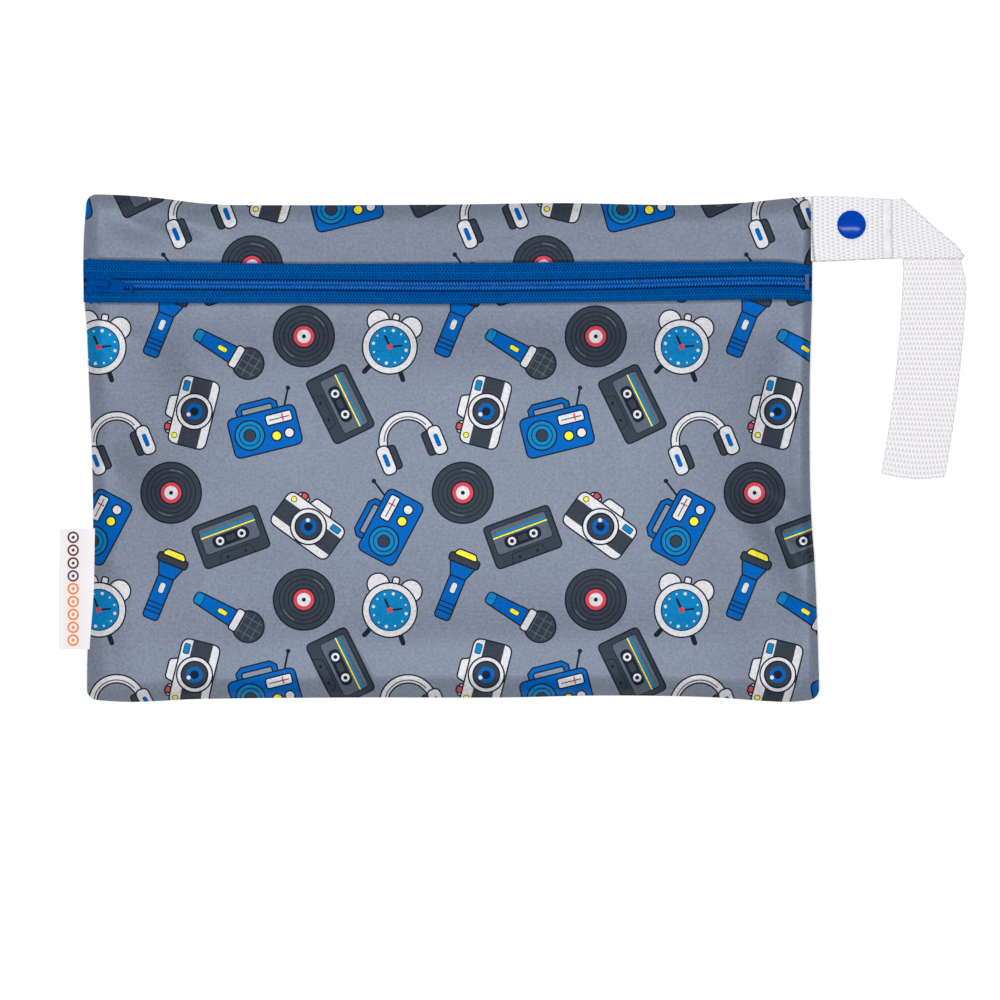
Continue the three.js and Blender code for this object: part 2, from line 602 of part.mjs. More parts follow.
// The point of the strip at s along it and t across it, n above its middle.
function onStrip(s, t, n) {
  const start = new THREE.Vector3(webStart, webMiddle, layerLevel(2));
  const axes = [new THREE.Vector3(1, 0, 0), new THREE.Vector3(0, 1, 0), new THREE.Vector3(0, 0, 1)];
  let frame = flatFrame(start, ...axes);
  let rest = s;
  let layer = 0;
  let point = null;
  while (point === null) {
    const fold = FOLD_LIST[layer];
    const past = rest - fold.length - fold.slant * t;
    if (fold.radius === 0 || past <= 0) {
      point = frame.at(rest, t, n);
      break;
    }
    const toward = frame.along.clone().addScaledVector(frame.across, -fold.slant).normalize();
    const angle = past / hypot(1, fold.slant) / bendMean(fold);
    if (angle < PI) {
      const reach = bendReach(fold);
      const faced = new THREE.Vector2(fold.radius * sin(angle), reach * cos(angle)).normalize();
      point = frame
        .at(fold.length + fold.slant * t, t, fold.side * fold.radius * (1 - cos(angle)) + faced.y * n)
        .addScaledVector(toward, reach * sin(angle) - fold.side * faced.x * n);
      break;
    }
    const next = frame.at(fold.length, 0, fold.side * 2 * fold.radius);
    const along = mirrored(frame.along, toward);
    const across = mirrored(frame.across, toward);
    frame = flatFrame(next, along, across, frame.normal.clone().negate());
    rest -= fold.length + bendLength(fold);
    layer += 1;
  }
  const down = clamp((webMiddle - point.y) / WEB_DROP, 0, 1);
  const hung = halfWidth + WEB_RUN;
  point.x = mix(point.x, hung, WEB_DRAWN_IN * ease(down / 0.25)) - WEB_SWAY * down ** 2;
  point.y -= WEB_BOW * (1 - ((2 * t) / WEB_WIDTH) ** 2) * ease((down - 0.8) / 0.2);
  point.z += liftAt(point.x, layer);
  return point;
}

// Stations along the strip: a few on each straight run, and some round each bend. Each is a place
// along the middle line and the lean of the line across the strip there.
function stripStations() {
  const list = [];
  let start = 0;
  let lean = 0;
  for (const fold of FOLD_LIST) {
    const steps = Math.round(fold.length / WEB_STATION);
    for (let k = 0; k < steps; k++) {
      const share = k / steps;
      list.push({ s: start + fold.length * share, lean: mix(lean, fold.slant, share) });
    }
    start += fold.length;
    lean = fold.slant;
    if (fold.radius > 0) {
      for (let k = 0; k < BEND_STEPS; k++) {
        list.push({ s: start + (bendLength(fold) * k) / BEND_STEPS, lean });
      }
      start += bendLength(fold);
    }
  }
  return [...list, { s: start, lean }];
}

function handle() {
  const shares = [-0.5, -0.25, 0, 0.25, 0.5];
  const face = (n) =>
    stripStations().map(({ s, lean }) =>
      shares.map((share) => {
        const t = share * WEB_WIDTH;
        return onStrip(s + lean * t, t, n);
      }),
    );
  const strip = slab(face(WEB_THICKNESS / 2), face(-WEB_THICKNESS / 2));
  const depth = 4 * (backLayerAtSnap + webPitch);
  const hole = new THREE.CylinderGeometry(SNAP_POST + GAP, SNAP_POST + GAP, depth, 16);
  return cut(strip, [hole.rotateX(PI / 2).translate(snapX, snapY, 0)]);
}

// A round part of the snap from a profile of [radius, height] points, which starts and ends on the axis.
function snapPart(profile) {
  const points = profile.map(([radius, height]) => new THREE.Vector2(radius, height));
  return new THREE.LatheGeometry(points, 24).rotateX(PI / 2).translate(snapX, snapY, 0);
}

const snapRadius = SNAP_DIAMETER / 2;
const capLevel = backLayerAtSnap + webPitch + WEB_THICKNESS / 2 + GAP;

function snapCap() {
  return snapPart([
    [0, coreLevel + SNAP_CORE + GAP],
    [SNAP_POST, coreLevel + SNAP_CORE + GAP],
    [SNAP_POST, capLevel],
    [snapRadius * 0.9, capLevel],
    [snapRadius, capLevel + SNAP_CAP * 0.3],
    [snapRadius * 0.92, capLevel + SNAP_CAP * 0.72],
    [snapRadius * 0.6, capLevel + SNAP_CAP * 0.94],
    [0, capLevel + SNAP_CAP],
  ]);
}

function snapCore() {
  const radius = SNAP_CORE_DIAMETER / 2;
  return snapPart([
    [0, coreLevel],
    [radius, coreLevel],
    [radius, coreLevel + SNAP_CORE],
    [0, coreLevel + SNAP_CORE],
  ]);
}

function snapBackCap() {
  return snapPart([
    [0, 0],
    [snapRadius * 0.85, 0],
    [snapRadius, SNAP_CAP * 0.5],
    [snapRadius * 0.9, SNAP_CAP],
    [SNAP_POST, SNAP_CAP],
    [SNAP_POST, coreLevel - GAP],
    [0, coreLevel - GAP],
  ]);
}

// The folded label, pressed flat, which leaves the seam and sinks to the floor.
const labelMiddle = -halfLength + LABEL_SETBACK + LABEL_WIDTH / 2;

function label() {
  const steps = 6;
  const seam = leftLine(labelMiddle);
  const columnsOut = Array.from({ length: steps + 1 }, (_, k) => k / steps);
  const rowsUp = [-0.5, 0, 0.5];
  const lay = (side) =>
    columnsOut.map((share) =>
      rowsUp.map((row) => {
        const y = labelMiddle + row * LABEL_WIDTH;
        const x = mix(seam + SEWN_IN, seam - LABEL_REACH, share);
        const sunk = ease((seam - GAP - x) / LABEL_REACH);
        const edge = share === 1 ? 0.4 : 1;
        const middle = mix(SEAM_HEIGHT, LABEL_THICKNESS / 2, sunk);
        return new THREE.Vector3(x, y, middle + (side * edge * LABEL_THICKNESS) / 2);
      }),
    );
  return slab(lay(1), lay(-1));
}

// The mouths in the side seam that the strip and the label are sewn into.
function seamMouths() {
  const mouth = (seam, y, width, thickness) =>
    box(2 * (SEWN_IN + GAP), width + 2 * GAP, thickness + 2 * GAP, seam, y, SEAM_HEIGHT);
  return [
    mouth(halfWidth, webMiddle, WEB_WIDTH, WEB_THICKNESS),
    mouth(leftLine(labelMiddle), labelMiddle, LABEL_WIDTH, LABEL_THICKNESS),
  ];
}

// Materials, with the colours of the real cloth, plastic and metal
const materials = {
  cloth: { color: 0x8a93a3, roughness: 0.65, metalness: 0 },
  lining: { color: 0x7d8696, roughness: 0.6, metalness: 0 },
  tape: { color: 0x0a4a90, roughness: 0.8, metalness: 0 },
  coils: { color: 0x0f55a5, roughness: 0.4, metalness: 0 },
  paint: { color: 0x0b4488, roughness: 0.35, metalness: 0.3 },
  steel: { color: 0x8d97a8, roughness: 0.35, metalness: 0.9 },
  webbing: { color: 0xf0eef0, roughness: 0.8, metalness: 0 },
  snap: { color: 0x0a46aa, roughness: 0.25, metalness: 0 },
  satin: { color: 0xf2eef0, roughness: 0.5, metalness: 0 },
};

const pouch = new THREE.Group();

function add(name, geometry, finish, group = pouch) {
  const mesh = new THREE.Mesh(geometry, new THREE.MeshStandardMaterial(materials[finish]));
  mesh.name = name;
  group.add(mesh);
  return mesh;
}

add('lower_front_panel', cut(lowerFrontPanel(), seamMouths()), 'cloth');
add('upper_front_panel', cut(upperFrontPanel(), seamMouths()), 'cloth');
add('back_panel', cut(backPanel(), seamMouths()), 'lining');
add('zip_tape_upper', cut(tape(1), seamMouths()), 'tape');
add('zip_tape_lower', tape(-1), 'tape');
add('zip_coil_upper', coil(1), 'coils');
add('zip_coil_lower', coil(-1), 'coils');
add('zip_end_stop', endStop(), 'steel');

const sliderGroup = new THREE.Group();
sliderGroup.position.set(sliderX, sliderY, tapeLevel(sliderX, sliderY));
sliderGroup.rotation.z = SLIDER_YAW * degrees;
pouch.add(sliderGroup);
add('zip_slider', slider(), 'paint', sliderGroup);
add('pull_tab', pullTab(), 'paint', sliderGroup).position.set(PIVOT_OFFSET, 0, pivotLevel);

add('handle_strap', handle(), 'webbing');
add('snap_cap', snapCap(), 'snap');
add('snap_core', snapCore(), 'snap');
add('snap_back_cap', snapBackCap(), 'snap');
add('side_label', label(), 'satin');

export default pouch;
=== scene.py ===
"""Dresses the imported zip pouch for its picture.

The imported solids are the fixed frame. Every piece made here stands where a solid is: printed cloth, woven
zip tapes, coils, slider, pull tab, webbing, snap and label. Sizes are millimetres in the frame's own axes
and become metres where a mesh is made: X across the pouch, Y towards the zip, Z up.
"""

import itertools
import math

import bpy
import numpy as np
from mathutils import Matrix, Vector
from mathutils.geometry import delaunay_2d_cdt


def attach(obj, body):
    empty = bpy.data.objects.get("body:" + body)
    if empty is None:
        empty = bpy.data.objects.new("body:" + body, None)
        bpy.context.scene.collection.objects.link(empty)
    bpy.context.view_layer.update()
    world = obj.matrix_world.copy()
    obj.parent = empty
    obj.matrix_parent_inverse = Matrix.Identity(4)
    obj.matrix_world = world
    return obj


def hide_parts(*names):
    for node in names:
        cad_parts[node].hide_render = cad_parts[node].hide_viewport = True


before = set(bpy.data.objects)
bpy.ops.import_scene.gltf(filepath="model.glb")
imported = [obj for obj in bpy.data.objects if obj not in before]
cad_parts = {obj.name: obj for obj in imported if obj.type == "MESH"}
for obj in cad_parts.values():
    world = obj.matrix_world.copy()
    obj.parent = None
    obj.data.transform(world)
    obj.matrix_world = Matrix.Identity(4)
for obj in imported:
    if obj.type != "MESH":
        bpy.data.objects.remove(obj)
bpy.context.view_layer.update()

MM = 0.001
BAG = "bag"
TAB = "tab"

# The pouch, as the solids have it
POUCH_WIDTH = 279
POUCH_LENGTH = 190
CORNER_RADIUS = 4
FABRIC = 1
GAP = 0.3
SEAM_HEIGHT = 3
EDGE_ROLL = 2.6
EDGE_RISE = 3.2
CROWN = 5
CROWN_POWER = 2.2
SEAM_RIDGE = 0.5
RIDGE_SETBACK = 7
RIDGE_WIDTH = 4
FOLD_FADE = 9

# The cloth's form where it shows more than the solids do
ROLL_WIDTHS = (8, 4.2, 8, 12)  # how wide it rolls off at the left, right, top and bottom edges
CORNER_ROLL = 2.6
SHOULDER_RISES = {1: 0.3, -1: 1.8}  # how far it rises beyond the flat band along the zip, on each side
SHOULDER_SETBACK = 4.5
SHOULDER_WIDTH = 15
SHOULDER_FADE = 45  # it sinks away over this distance towards the side seams
HEM_RISE = 0.6  # the swell over the seam allowance above the bottom edge
HEM_SETBACK = 5.5
HEM_WIDTH = 4
FOLD_DEPTH = 1.5

# The zip, as the solids have it
ZIP_SETBACK = 31
TAPE_SHOWN = 8
TAPE_TUCK = 5
TAPE_THICKNESS = 0.7
TAPE_INSET = FABRIC + GAP
TAPE_SPLIT = 0.3
ZIP_DIP = 0.6
ZIP_DIP_FADE = 10
COIL_HEIGHT = 1.4
STOP_SETBACK = 2.3

# The coils' turns and the tapes' weave, which the solids leave out
COIL_PITCH = 1.18
COIL_WIRE = 0.25  # radius
COIL_POINTS = 14  # along the wire in each of its turns
COIL_SHOWN = 1.65  # how wide each coil's turns are
COIL_CROSSING = 0.3  # how far they reach past the middle line
COIL_EDGE = 1.95  # from the coils' middle line to the edge of the painted shadow under and beside them
TAPE_TUCK_FADE = 8  # how soon the tapes' tucked part narrows away towards the side seams
RIDGE_LINE = 5  # from there to the row of long stitches woven into each tape
TAPE_ROW = 1.1
TAPE_STATIONS = 260
TAPE_SHARES = (0, 0.06, 0.12, 0.2, 0.26, 0.32, 0.36, 0.4, 0.43, 0.47, 0.51, 0.56, 0.7, 0.85, 1)  # across it

# The slider and its pull tab, as the solids have them
SLIDER_LENGTH = 9.6
SLIDER_WIDTH = 7.8
SLIDER_NOSE = 6.2
SLIDER_SETBACK = 6.3
SLIDER_YAW = math.radians(-4)
PLATE = 1.1
SLIDER_PLAY = 0.5
BRIDGE_WIDTH = 2.2
BRIDGE_HEIGHT = 3
BRIDGE_LENGTH = 8.4
BRIDGE_BAR = 0.9
TAB_LENGTH = 15
TAB_WIDTH = 6.8
TAB_END_WIDTH = 3.4
TAB_THICKNESS = 1.1
TAB_YAW = math.radians(-5)  # how far it lies askew within its play, which the solid doesn't
PIVOT_HEIGHT = 1.05
PIVOT_OFFSET = -1

# The webbing handle. Its folds are pressed flatter than the solid's.
WEB_WIDTH = 25
WEB_THICKNESS = 1
WEB_RUN = 46.25
WEB_DROP = 94.5
WEB_SETBACK = 9.5
WEB_HEM = 29.2
WEB_SWAY = 8.6
WEB_SPREAD = 1.6  # how far the part that runs down stands out past the diagonal fold
WEB_DRAWN_IN = 0.04
WEB_BOW = 1.4
WEB_CORNER = 2.4  # how far the corner of the diagonal fold is rounded off
WEB_ASKEW = 0.045  # how far its end leans in plan
WEB_NARROWED = 0.1  # share of its width that it loses on the way to the diagonal fold
WEB_MELTED = 4.4  # length of its heat-sealed end
WEB_BULGE = (0.45, 0.5, 0.75, 0.6)  # how far each fold stands out past its crease
SEWN_IN = 3
RIB_PITCH = 1.92  # from one pick of the webbing to the next
YARN_PITCH = 1.45
STRIP_STEP = 1.5  # how far apart the strip's mesh is cut

# The snap and the label, as the solids have them, and the label's print
SNAP_SETBACK = 14.7
SNAP_OFFSET = 1.3
SNAP_DIAMETER = 11
SNAP_CAP = 1.3
SNAP_CORE_DIAMETER = 9
SNAP_CORE = 3
SNAP_POST = 1.6
LABEL_WIDTH = 46.5
LABEL_REACH = 12.5
LABEL_THICKNESS = 1
LABEL_SETBACK = 18.8
RING_PITCH = 4.95  # from one to the next of its nine rings
RING_LINE = 7.2  # from the seam to the rings' middles
RING_RADIUS = 1.9

# The outline's waves: (place along the edge from -1 to 1, how far the cloth stands out there), as a share
# of the pouch's length for the top and bottom and of its width for the sides
TOP_EDGE = (
    (-1, 0.021), (-0.91, 0.0193), (-0.8, 0.0132), (-0.69, 0.003), (-0.58, -0.001), (0, 0),
    (0.3, 0.003), (0.63, -0.001), (0.8, 0.003), (0.91, 0.011), (1, 0.017),
)
BOTTOM_EDGE = (
    (-1, 0.003), (-0.88, 0.008), (-0.69, 0.002), (-0.25, -0.001), (0.14, -0.001), (0.41, -0.005),
    (0.69, -0.002), (0.91, 0.008), (1, 0.002),
)
LEFT_EDGE = (
    (-1, 0.001), (-0.8, 0), (-0.6, -0.005), (-0.27, -0.0076), (0.02, -0.0055), (0.31, -0.0014),
    (0.51, 0.0014), (0.65, 0.0055), (0.85, 0.0055), (1, 0.002),
)
RIGHT_EDGE = (
    (-1, 0.0097), (-0.71, 0.0069), (-0.44, 0.0028), (-0.27, -0.0014), (-0.08, -0.0035), (0.31, -0.0035),
    (0.61, -0.0007), (1, 0),
)
# The zip's waves: (place, how far the coils move up, tape shown above, tape shown below)
ZIP_LINE = (
    (-1, 0.002, 1.17, 0.87), (-0.69, 0, 1.08, 0.87), (-0.41, -0.001, 1.01, 0.86), (0, -0.003, 1.08, 0.84),
    (0.41, 0, 1.08, 0.82), (0.69, 0.006, 0.93, 0.88), (0.91, 0.008, 0.91, 0.89), (1, 0.005, 0.8, 0.92),
)
# Soft folds: (across, up, long, wide, turn in degrees, rise). Lengths are shares of the pouch's length,
# and rises are shares of the crown.
FOLDS = (
    (-0.72, 0.9, 0.09, 0.032, -30, 0.26), (-0.82, 0.84, 0.09, 0.03, -35, -0.26),
    (-0.84, 0.42, 0.17, 0.06, 118, -0.2), (-0.7, 0.36, 0.15, 0.05, 124, 0.1),
    (-0.93, -0.08, 0.1, 0.045, 140, -0.2), (-0.9, -0.62, 0.18, 0.05, 96, 0.1),
    (0.9, -0.34, 0.085, 0.024, -52, -0.24), (0.94, -0.22, 0.08, 0.026, -35, 0.14),
    (0.86, -0.46, 0.13, 0.04, -60, 0.1), (0.92, 0.4, 0.15, 0.04, 80, -0.12),
    (0, -0.9, 1.1, 0.04, 0, 0.09), (0.1, -0.76, 1, 0.05, 1, -0.08),
)

# Where the cloth's mesh is cut, in from the outline and in from the folded edge along the zip
OUTLINE_STEPS = (0, 0.1, 0.35, 0.8, 1.5, 2.6, 4, 6)
OUTLINE_SPACING = 3.5
ZIP_EDGE_STEPS = (0, 0.06, 0.2, 0.5, 0.9, 1.4, 2.2)
ZIP_EDGE_ROLL = 1.4
ZIP_EDGE_DROP = 1.7
CLOTH_GRID = 2.5

half_width = POUCH_WIDTH / 2
half_length = POUCH_LENGTH / 2


def mix(a, b, share):
    return a + (b - a) * share


def ease(share):
    t = np.clip(share, 0, 1)
    return t * t * (3 - 2 * t)


def curve(rows, at, column=1):
    """One column of a table at the given places, on a smooth line through its rows."""
    table = np.array(rows, float)
    places, values = table[:, 0], table[:, column]
    before = np.maximum(np.arange(len(places)) - 1, 0)
    after = np.minimum(np.arange(len(places)) + 1, len(places) - 1)
    slopes = (values[after] - values[before]) / (places[after] - places[before])
    at = np.clip(at, places[0], places[-1])
    i = np.clip(np.searchsorted(places, at, side="right") - 1, 0, len(places) - 2)
    span = places[i + 1] - places[i]
    t = (at - places[i]) / span
    bend = slopes[i] * t * (1 - t) ** 2 - slopes[i + 1] * t * t * (1 - t)
    return mix(values[i], values[i + 1], t * t * (3 - 2 * t)) + span * bend


def left_line(y):
    return -half_width - POUCH_WIDTH * curve(LEFT_EDGE, y / half_length)


def right_line(y):
    return half_width + POUCH_WIDTH * curve(RIGHT_EDGE, y / half_length)


def end_line(across, up):
    """The top edge where up is 1, and the bottom edge where it is -1."""
    return up * (half_length + POUCH_LENGTH * curve(TOP_EDGE if up > 0 else BOTTOM_EDGE, across))


def across_at(x, y):
    left, right = left_line(y), right_line(y)
    return 2 * (x - left) / (right - left) - 1


def coil_line(across):
    return half_length - ZIP_SETBACK + POUCH_LENGTH * curve(ZIP_LINE, across)


def zip_edge(across, side):
    shown = curve(ZIP_LINE, across, 2 if side > 0 else 3)
    return coil_line(across) + side * TAPE_SHOWN * shown


def place(x, y):
    """Where points lie across the pouch, how far they are from its four sides, and from its outline."""
    across = across_at(x, y)
    sides = (x - left_line(y), right_line(y) - x, end_line(across, 1) - y, y - end_line(across, -1))
    from_sides, from_ends = np.minimum(*sides[:2]), np.minimum(*sides[2:])
    over_side, over_end = CORNER_RADIUS - from_sides, CORNER_RADIUS - from_ends
    in_corner = (over_side > 0) & (over_end > 0)
    straight = np.minimum(from_sides, from_ends)
    depth = np.where(in_corner, CORNER_RADIUS - np.hypot(over_side, over_end), straight)
    return across, sides, depth


def bell(value):
    return np.exp(-(value**2))


def rounded_off(share):
    """From 0 to 1 on a rounded shoulder that ends flat."""
    return 1 - (1 - np.clip(share, 0, 1)) ** 3


def crown_at(sides):
    across_share = np.clip(np.minimum(*sides[:2]) / half_width, 0, 1)
    along_share = np.clip(np.minimum(*sides[2:]) / half_length, 0, 1)
    return CROWN * (1 - (1 - across_share) ** CROWN_POWER) * (1 - (1 - along_share) ** CROWN_POWER)


def folds_at(x, y):
    total = 0
    for across, up, long, wide, turn, rise in FOLDS:
        dx, dy, t = x - across * half_width, y - up * half_length, math.radians(turn)
        along = (dx * math.cos(t) + dy * math.sin(t)) / (long * POUCH_LENGTH)
        aside = (dy * math.cos(t) - dx * math.sin(t)) / (wide * POUCH_LENGTH)
        total = total + CROWN * rise * bell(along) * bell(aside)
    return total


def from_zip(x, y):
    return np.abs(y - coil_line(across_at(x, y))) - TAPE_SHOWN


def tape_level(x, y):
    """The height of the solid front's inner face, which the tapes lie under."""
    across, sides, outer = place(x, y)
    turned = 1 - np.minimum(1, np.maximum(0, outer - TAPE_INSET) / (EDGE_ROLL - TAPE_INSET))
    roll = (EDGE_RISE - TAPE_INSET) * np.sqrt(1 - turned**2)
    ridge = SEAM_RIDGE * bell((outer - RIDGE_SETBACK) / RIDGE_WIDTH)
    away = ease(from_zip(x, y) / ZIP_DIP_FADE)
    soft = away * ease(outer / FOLD_FADE) * (folds_at(x, y) + ridge + ZIP_DIP)
    return SEAM_HEIGHT + GAP / 2 + roll + crown_at(sides) + soft


def puckers(x, y, depth):
    """The small gathers that the seams and the zip leave in the cloth, and its wide slack waves."""
    near_zip = bell((from_zip(x, y) - 4) / 5)
    near_seam = bell((depth - 5) / 4)
    wave = np.sin(0.31 * x + 0.9 * np.sin(0.05 * x)) + 0.7 * np.sin(0.17 * x + 0.11 * y + 2)
    side_wave = np.sin(0.29 * y + 0.8 * np.sin(0.07 * y)) + 0.7 * np.sin(0.16 * y + 0.13 * x)
    at_end = np.abs(y) / half_length > np.abs(x) / half_width
    broad = np.sin(0.045 * x + 0.03 * y) * np.sin(0.06 * y - 0.02 * x)
    seam_wave = np.where(at_end, wave, side_wave)
    return 0.07 * near_zip * wave + 0.1 * near_seam * seam_wave + 0.2 * broad * ease(depth / 20)


def panel_height(side):
    """The height of the front panel on one side of the zip, with its folded edge turned down."""

    def height(x, y):
        across, sides, depth = place(x, y)
        roll = EDGE_RISE * rounded_off(depth / CORNER_ROLL)
        for distance, width in zip(sides, ROLL_WIDTHS):
            roll = roll * rounded_off(distance / width)
        beside_zip = side * (y - zip_edge(across, side))
        up_shoulder = np.maximum(0, beside_zip - SHOULDER_SETBACK) / SHOULDER_WIDTH
        shoulder = SHOULDER_RISES[side] * (1 - bell(up_shoulder))
        shoulder = shoulder * ease(np.minimum(*sides[:2]) / SHOULDER_FADE)
        hem = HEM_RISE * bell((sides[3] - HEM_SETBACK) / HEM_WIDTH)
        inland = ease(np.minimum(*sides[:2]) / FOLD_FADE)
        creased = FOLD_DEPTH * folds_at(x, y) * ease((beside_zip - TAPE_TUCK) / 12)
        formed = shoulder + hem + creased
        turned = 1 - np.clip(beside_zip / ZIP_EDGE_ROLL, 0, 1)
        drop = ZIP_EDGE_DROP * (1 - np.sqrt(1 - turned**2)) * ease(depth / EDGE_ROLL)
        fitted = crown_at(sides) + inland * ease(depth / 3) * formed + puckers(x, y, depth)
        return SEAM_HEIGHT + roll + fitted * ease(depth + 0.5) - drop

    return height


def back_height(x, y):
    """The back lies on the floor, with hollows where the cloth lifts a little."""
    depth = np.maximum(0, place(x, y)[2])
    turned = 1 - np.minimum(1, depth / EDGE_ROLL)
    lifted = 0.22 * (1 + np.sin(0.05 * x + 0.035 * y) * np.sin(0.055 * y - 0.03 * x)) * ease(depth / 25)
    return SEAM_HEIGHT * (1 - np.sqrt(1 - turned**2)) + lifted


def outline(depth):
    """The closed line that lies at one depth inside the pouch's outline."""
    radius = CORNER_RADIUS - min(depth, CORNER_RADIUS * 0.8)
    turns = np.linspace(0, math.pi / 2, 9)
    corners = []
    for right, up in ((1, 1), (-1, 1), (-1, -1), (1, -1)):
        from_side = radius * (1 - np.cos(turns)) + depth
        from_end = radius * (1 - np.sin(turns)) + depth
        if right * up < 0:
            from_side, from_end = from_side[::-1], from_end[::-1]
        x = np.full(len(turns), right * half_width)
        y = np.full(len(turns), up * half_length)
        for _ in range(3):
            y = end_line(across_at(x, y), up) - up * from_end
            x = right_line(y) - from_side if right > 0 else left_line(y) + from_side
        corners.append(np.column_stack([x, y]))
    line = []
    for corner, following in zip(corners, corners[1:] + corners[:1]):
        line.extend(corner)
        start, end = corner[-1], following[0]
        count = int(np.linalg.norm(end - start) / OUTLINE_SPACING)
        x, y = mix(start[:, None], end[:, None], np.arange(1, count) / count)
        if abs(end[0] - start[0]) > abs(end[1] - start[1]):
            up = 1 if start[1] > 0 else -1
            for _ in range(3):
                y = end_line(across_at(x, y), up) - up * depth
        else:
            x = right_line(y) - depth if start[0] > 0 else left_line(y) + depth
        line.extend(np.column_stack([x, y]))
    return np.array(line)


# Making meshes


def mesh_object(name, points, faces, smooth=True, uvs=None):
    """An object from points in millimetres. uvs holds a pair of numbers for each point."""
    mesh = bpy.data.meshes.new(name)
    mesh.from_pydata([tuple(p) for p in np.asarray(points) * MM], [], [tuple(f) for f in faces])
    mesh.validate()
    mesh.polygons.foreach_set("use_smooth", [smooth] * len(mesh.polygons))
    if uvs is not None:
        layer = mesh.uv_layers.new(name="UVMap")
        corners = np.zeros(len(mesh.loops), int)
        mesh.loops.foreach_get("vertex_index", corners)
        layer.data.foreach_set("uv", np.asarray(uvs, np.float32)[corners].ravel())
    mesh.update()
    return linked(name, mesh)


def linked(name, data):
    """A new object in the scene."""
    made = bpy.data.objects.new(name, data)
    bpy.context.scene.collection.objects.link(made)
    return made


def grid_faces(rows, columns, closed=False, start=0):
    """Faces between rows of points. Where closed, each row is a ring."""
    faces = []
    for a in range(start, start + (rows - 1) * columns, columns):
        for j in range(columns if closed else columns - 1):
            k = (j + 1) % columns
            faces.append((a + j, a + columns + j, a + columns + k, a + k))
    return faces


def tube(name, points, sides, uvs=None):
    """A skin over rings of points, with both ends closed."""
    last = len(points) - sides
    ends = [tuple(range(sides)), tuple(range(len(points) - 1, last - 1, -1))]
    return mesh_object(name, points, grid_faces(len(points) // sides, sides, closed=True) + ends, uvs=uvs)


def full_turn(steps):
    return np.linspace(0, 2 * math.pi, steps, endpoint=False)


def dress(piece, finishes, nodes, body=BAG):
    """Gives a piece its materials and its place in the frame."""
    for finish in finishes:
        piece.data.materials.append(finish)
    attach(piece, body)
    if nodes:
        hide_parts(*nodes)
    return piece


# Colours as the eye sees them, from 0 to 255


def linear(colour):
    """A colour as the renderer takes it."""
    shares = np.array(colour) / 255
    light = np.where(shares <= 0.04045, shares / 12.92, ((shares + 0.055) / 1.055) ** 2.4)
    return (*light.tolist(), 1)


PRINT_COLOURS = {
    "ground": (124, 133, 150),
    "white": (210, 210, 215),
    "blue": (0, 92, 176),
    "sky": (12, 122, 182),
    "slate": (52, 59, 70),
    "steel": (84, 94, 108),
    "ink": (24, 33, 47),
    "yellow": (238, 224, 62),
    "red": (204, 68, 78),
}
ZIP_BLUE = (0, 80, 154)
# The zip tape's painted shade in its hollows and painted highlight on its raised yarns
ZIP_PAINTED_SHADE = (0, 44, 100)
ZIP_PAINTED_HIGHLIGHT = (6, 114, 202)
COIL_BLUE = (4, 108, 202)
SNAP_BLUE = (0, 62, 166)
WEB_WHITE = (248, 247, 248)
# The colour of the painted shade in the webbing's hollows
WEB_SHADE = (202, 197, 205)
SATIN_WHITE = (234, 229, 232)
RING_ORANGE = (238, 128, 46)
RING_BROWN = (84, 44, 38)
STOP_GREY = (66, 96, 142)
SLIDER_BLUE = (0, 68, 140)
MELTED_WHITE = (226, 224, 226)
MATT = 0.91  # what the sheen adds is taken off the colours under it


class Graph:
    """A material's nodes. Each call adds a node and gives back its output."""

    def __init__(self, name, colour, **shader):
        self.material = bpy.data.materials.new(name)
        self.material.use_nodes = True
        self.tree = self.material.node_tree
        self.shader = self.tree.nodes["Principled BSDF"]
        self.material.diffuse_color = linear(colour)
        self.set("Base Color", linear(colour))
        for key, value in shader.items():
            self.set(key.replace("_", " "), value)

    def feed(self, socket, value):
        if isinstance(value, bpy.types.NodeSocket):
            self.tree.links.new(value, socket)
        else:
            socket.default_value = value

    def set(self, socket, value):
        self.feed(self.shader.inputs[socket], value)

    def node(self, kind, output=0, inputs=(), **settings):
        made = self.tree.nodes.new(kind)
        for key, value in settings.items():
            setattr(made, key, value)
        for key, value in dict(inputs).items():
            self.feed(made.inputs[key], value)
        return made.outputs[output]

    def math(self, operation, *values):
        return self.node("ShaderNodeMath", inputs=enumerate(values), operation=operation)

    def pair(self, kind):
        """The first two numbers of a place: on the Object, or on the mesh's own map, the UV."""
        split = self.node("ShaderNodeSeparateXYZ", inputs={0: self.node("ShaderNodeTexCoord", kind)}).node
        return split.outputs[0], split.outputs[1]

    def noise(self, scale, detail=3, roughness=0.55):
        place = self.node("ShaderNodeTexCoord", "Object")
        inputs = {"Vector": place, "Scale": scale, "Detail": detail, "Roughness": roughness}
        return self.node("ShaderNodeTexNoise", inputs=inputs)

    def wave(self, value, period, shift=0.0):
        """A wave from 0 to 1 that repeats every period."""
        turn = self.math("MULTIPLY_ADD", value, 2 * math.pi / period, shift)
        return self.spread(self.math("SINE", turn), 0.5, 1)

    def spread(self, value, low, high):
        """A number from 0 to 1 mapped to between low and high."""
        return self.math("MULTIPLY_ADD", value, high - low, low)

    def within(self, value, limit):
        """1 where a number is nearer to 0 than the limit, and 0 elsewhere."""
        return self.math("LESS_THAN", self.math("ABSOLUTE", value), limit)

    def blend(self, share, low, high):
        """A colour between two, each a colour to the eye or an output."""
        ends = [linear(end) if isinstance(end, tuple) else end for end in (low, high)]
        inputs = {0: share, 6: ends[0], 7: ends[1]}
        return self.node("ShaderNodeMix", output=2, inputs=inputs, data_type="RGBA")

    def finish(self, colour, roughness, height, depth_mm, strength):
        """The finished material, with a bump of the given depth."""
        inputs = {"Height": height, "Distance": depth_mm * MM, "Strength": strength}
        self.set("Base Color", colour)
        self.set("Roughness", roughness)
        self.set("Normal", self.node("ShaderNodeBump", inputs=inputs))
        return self.material


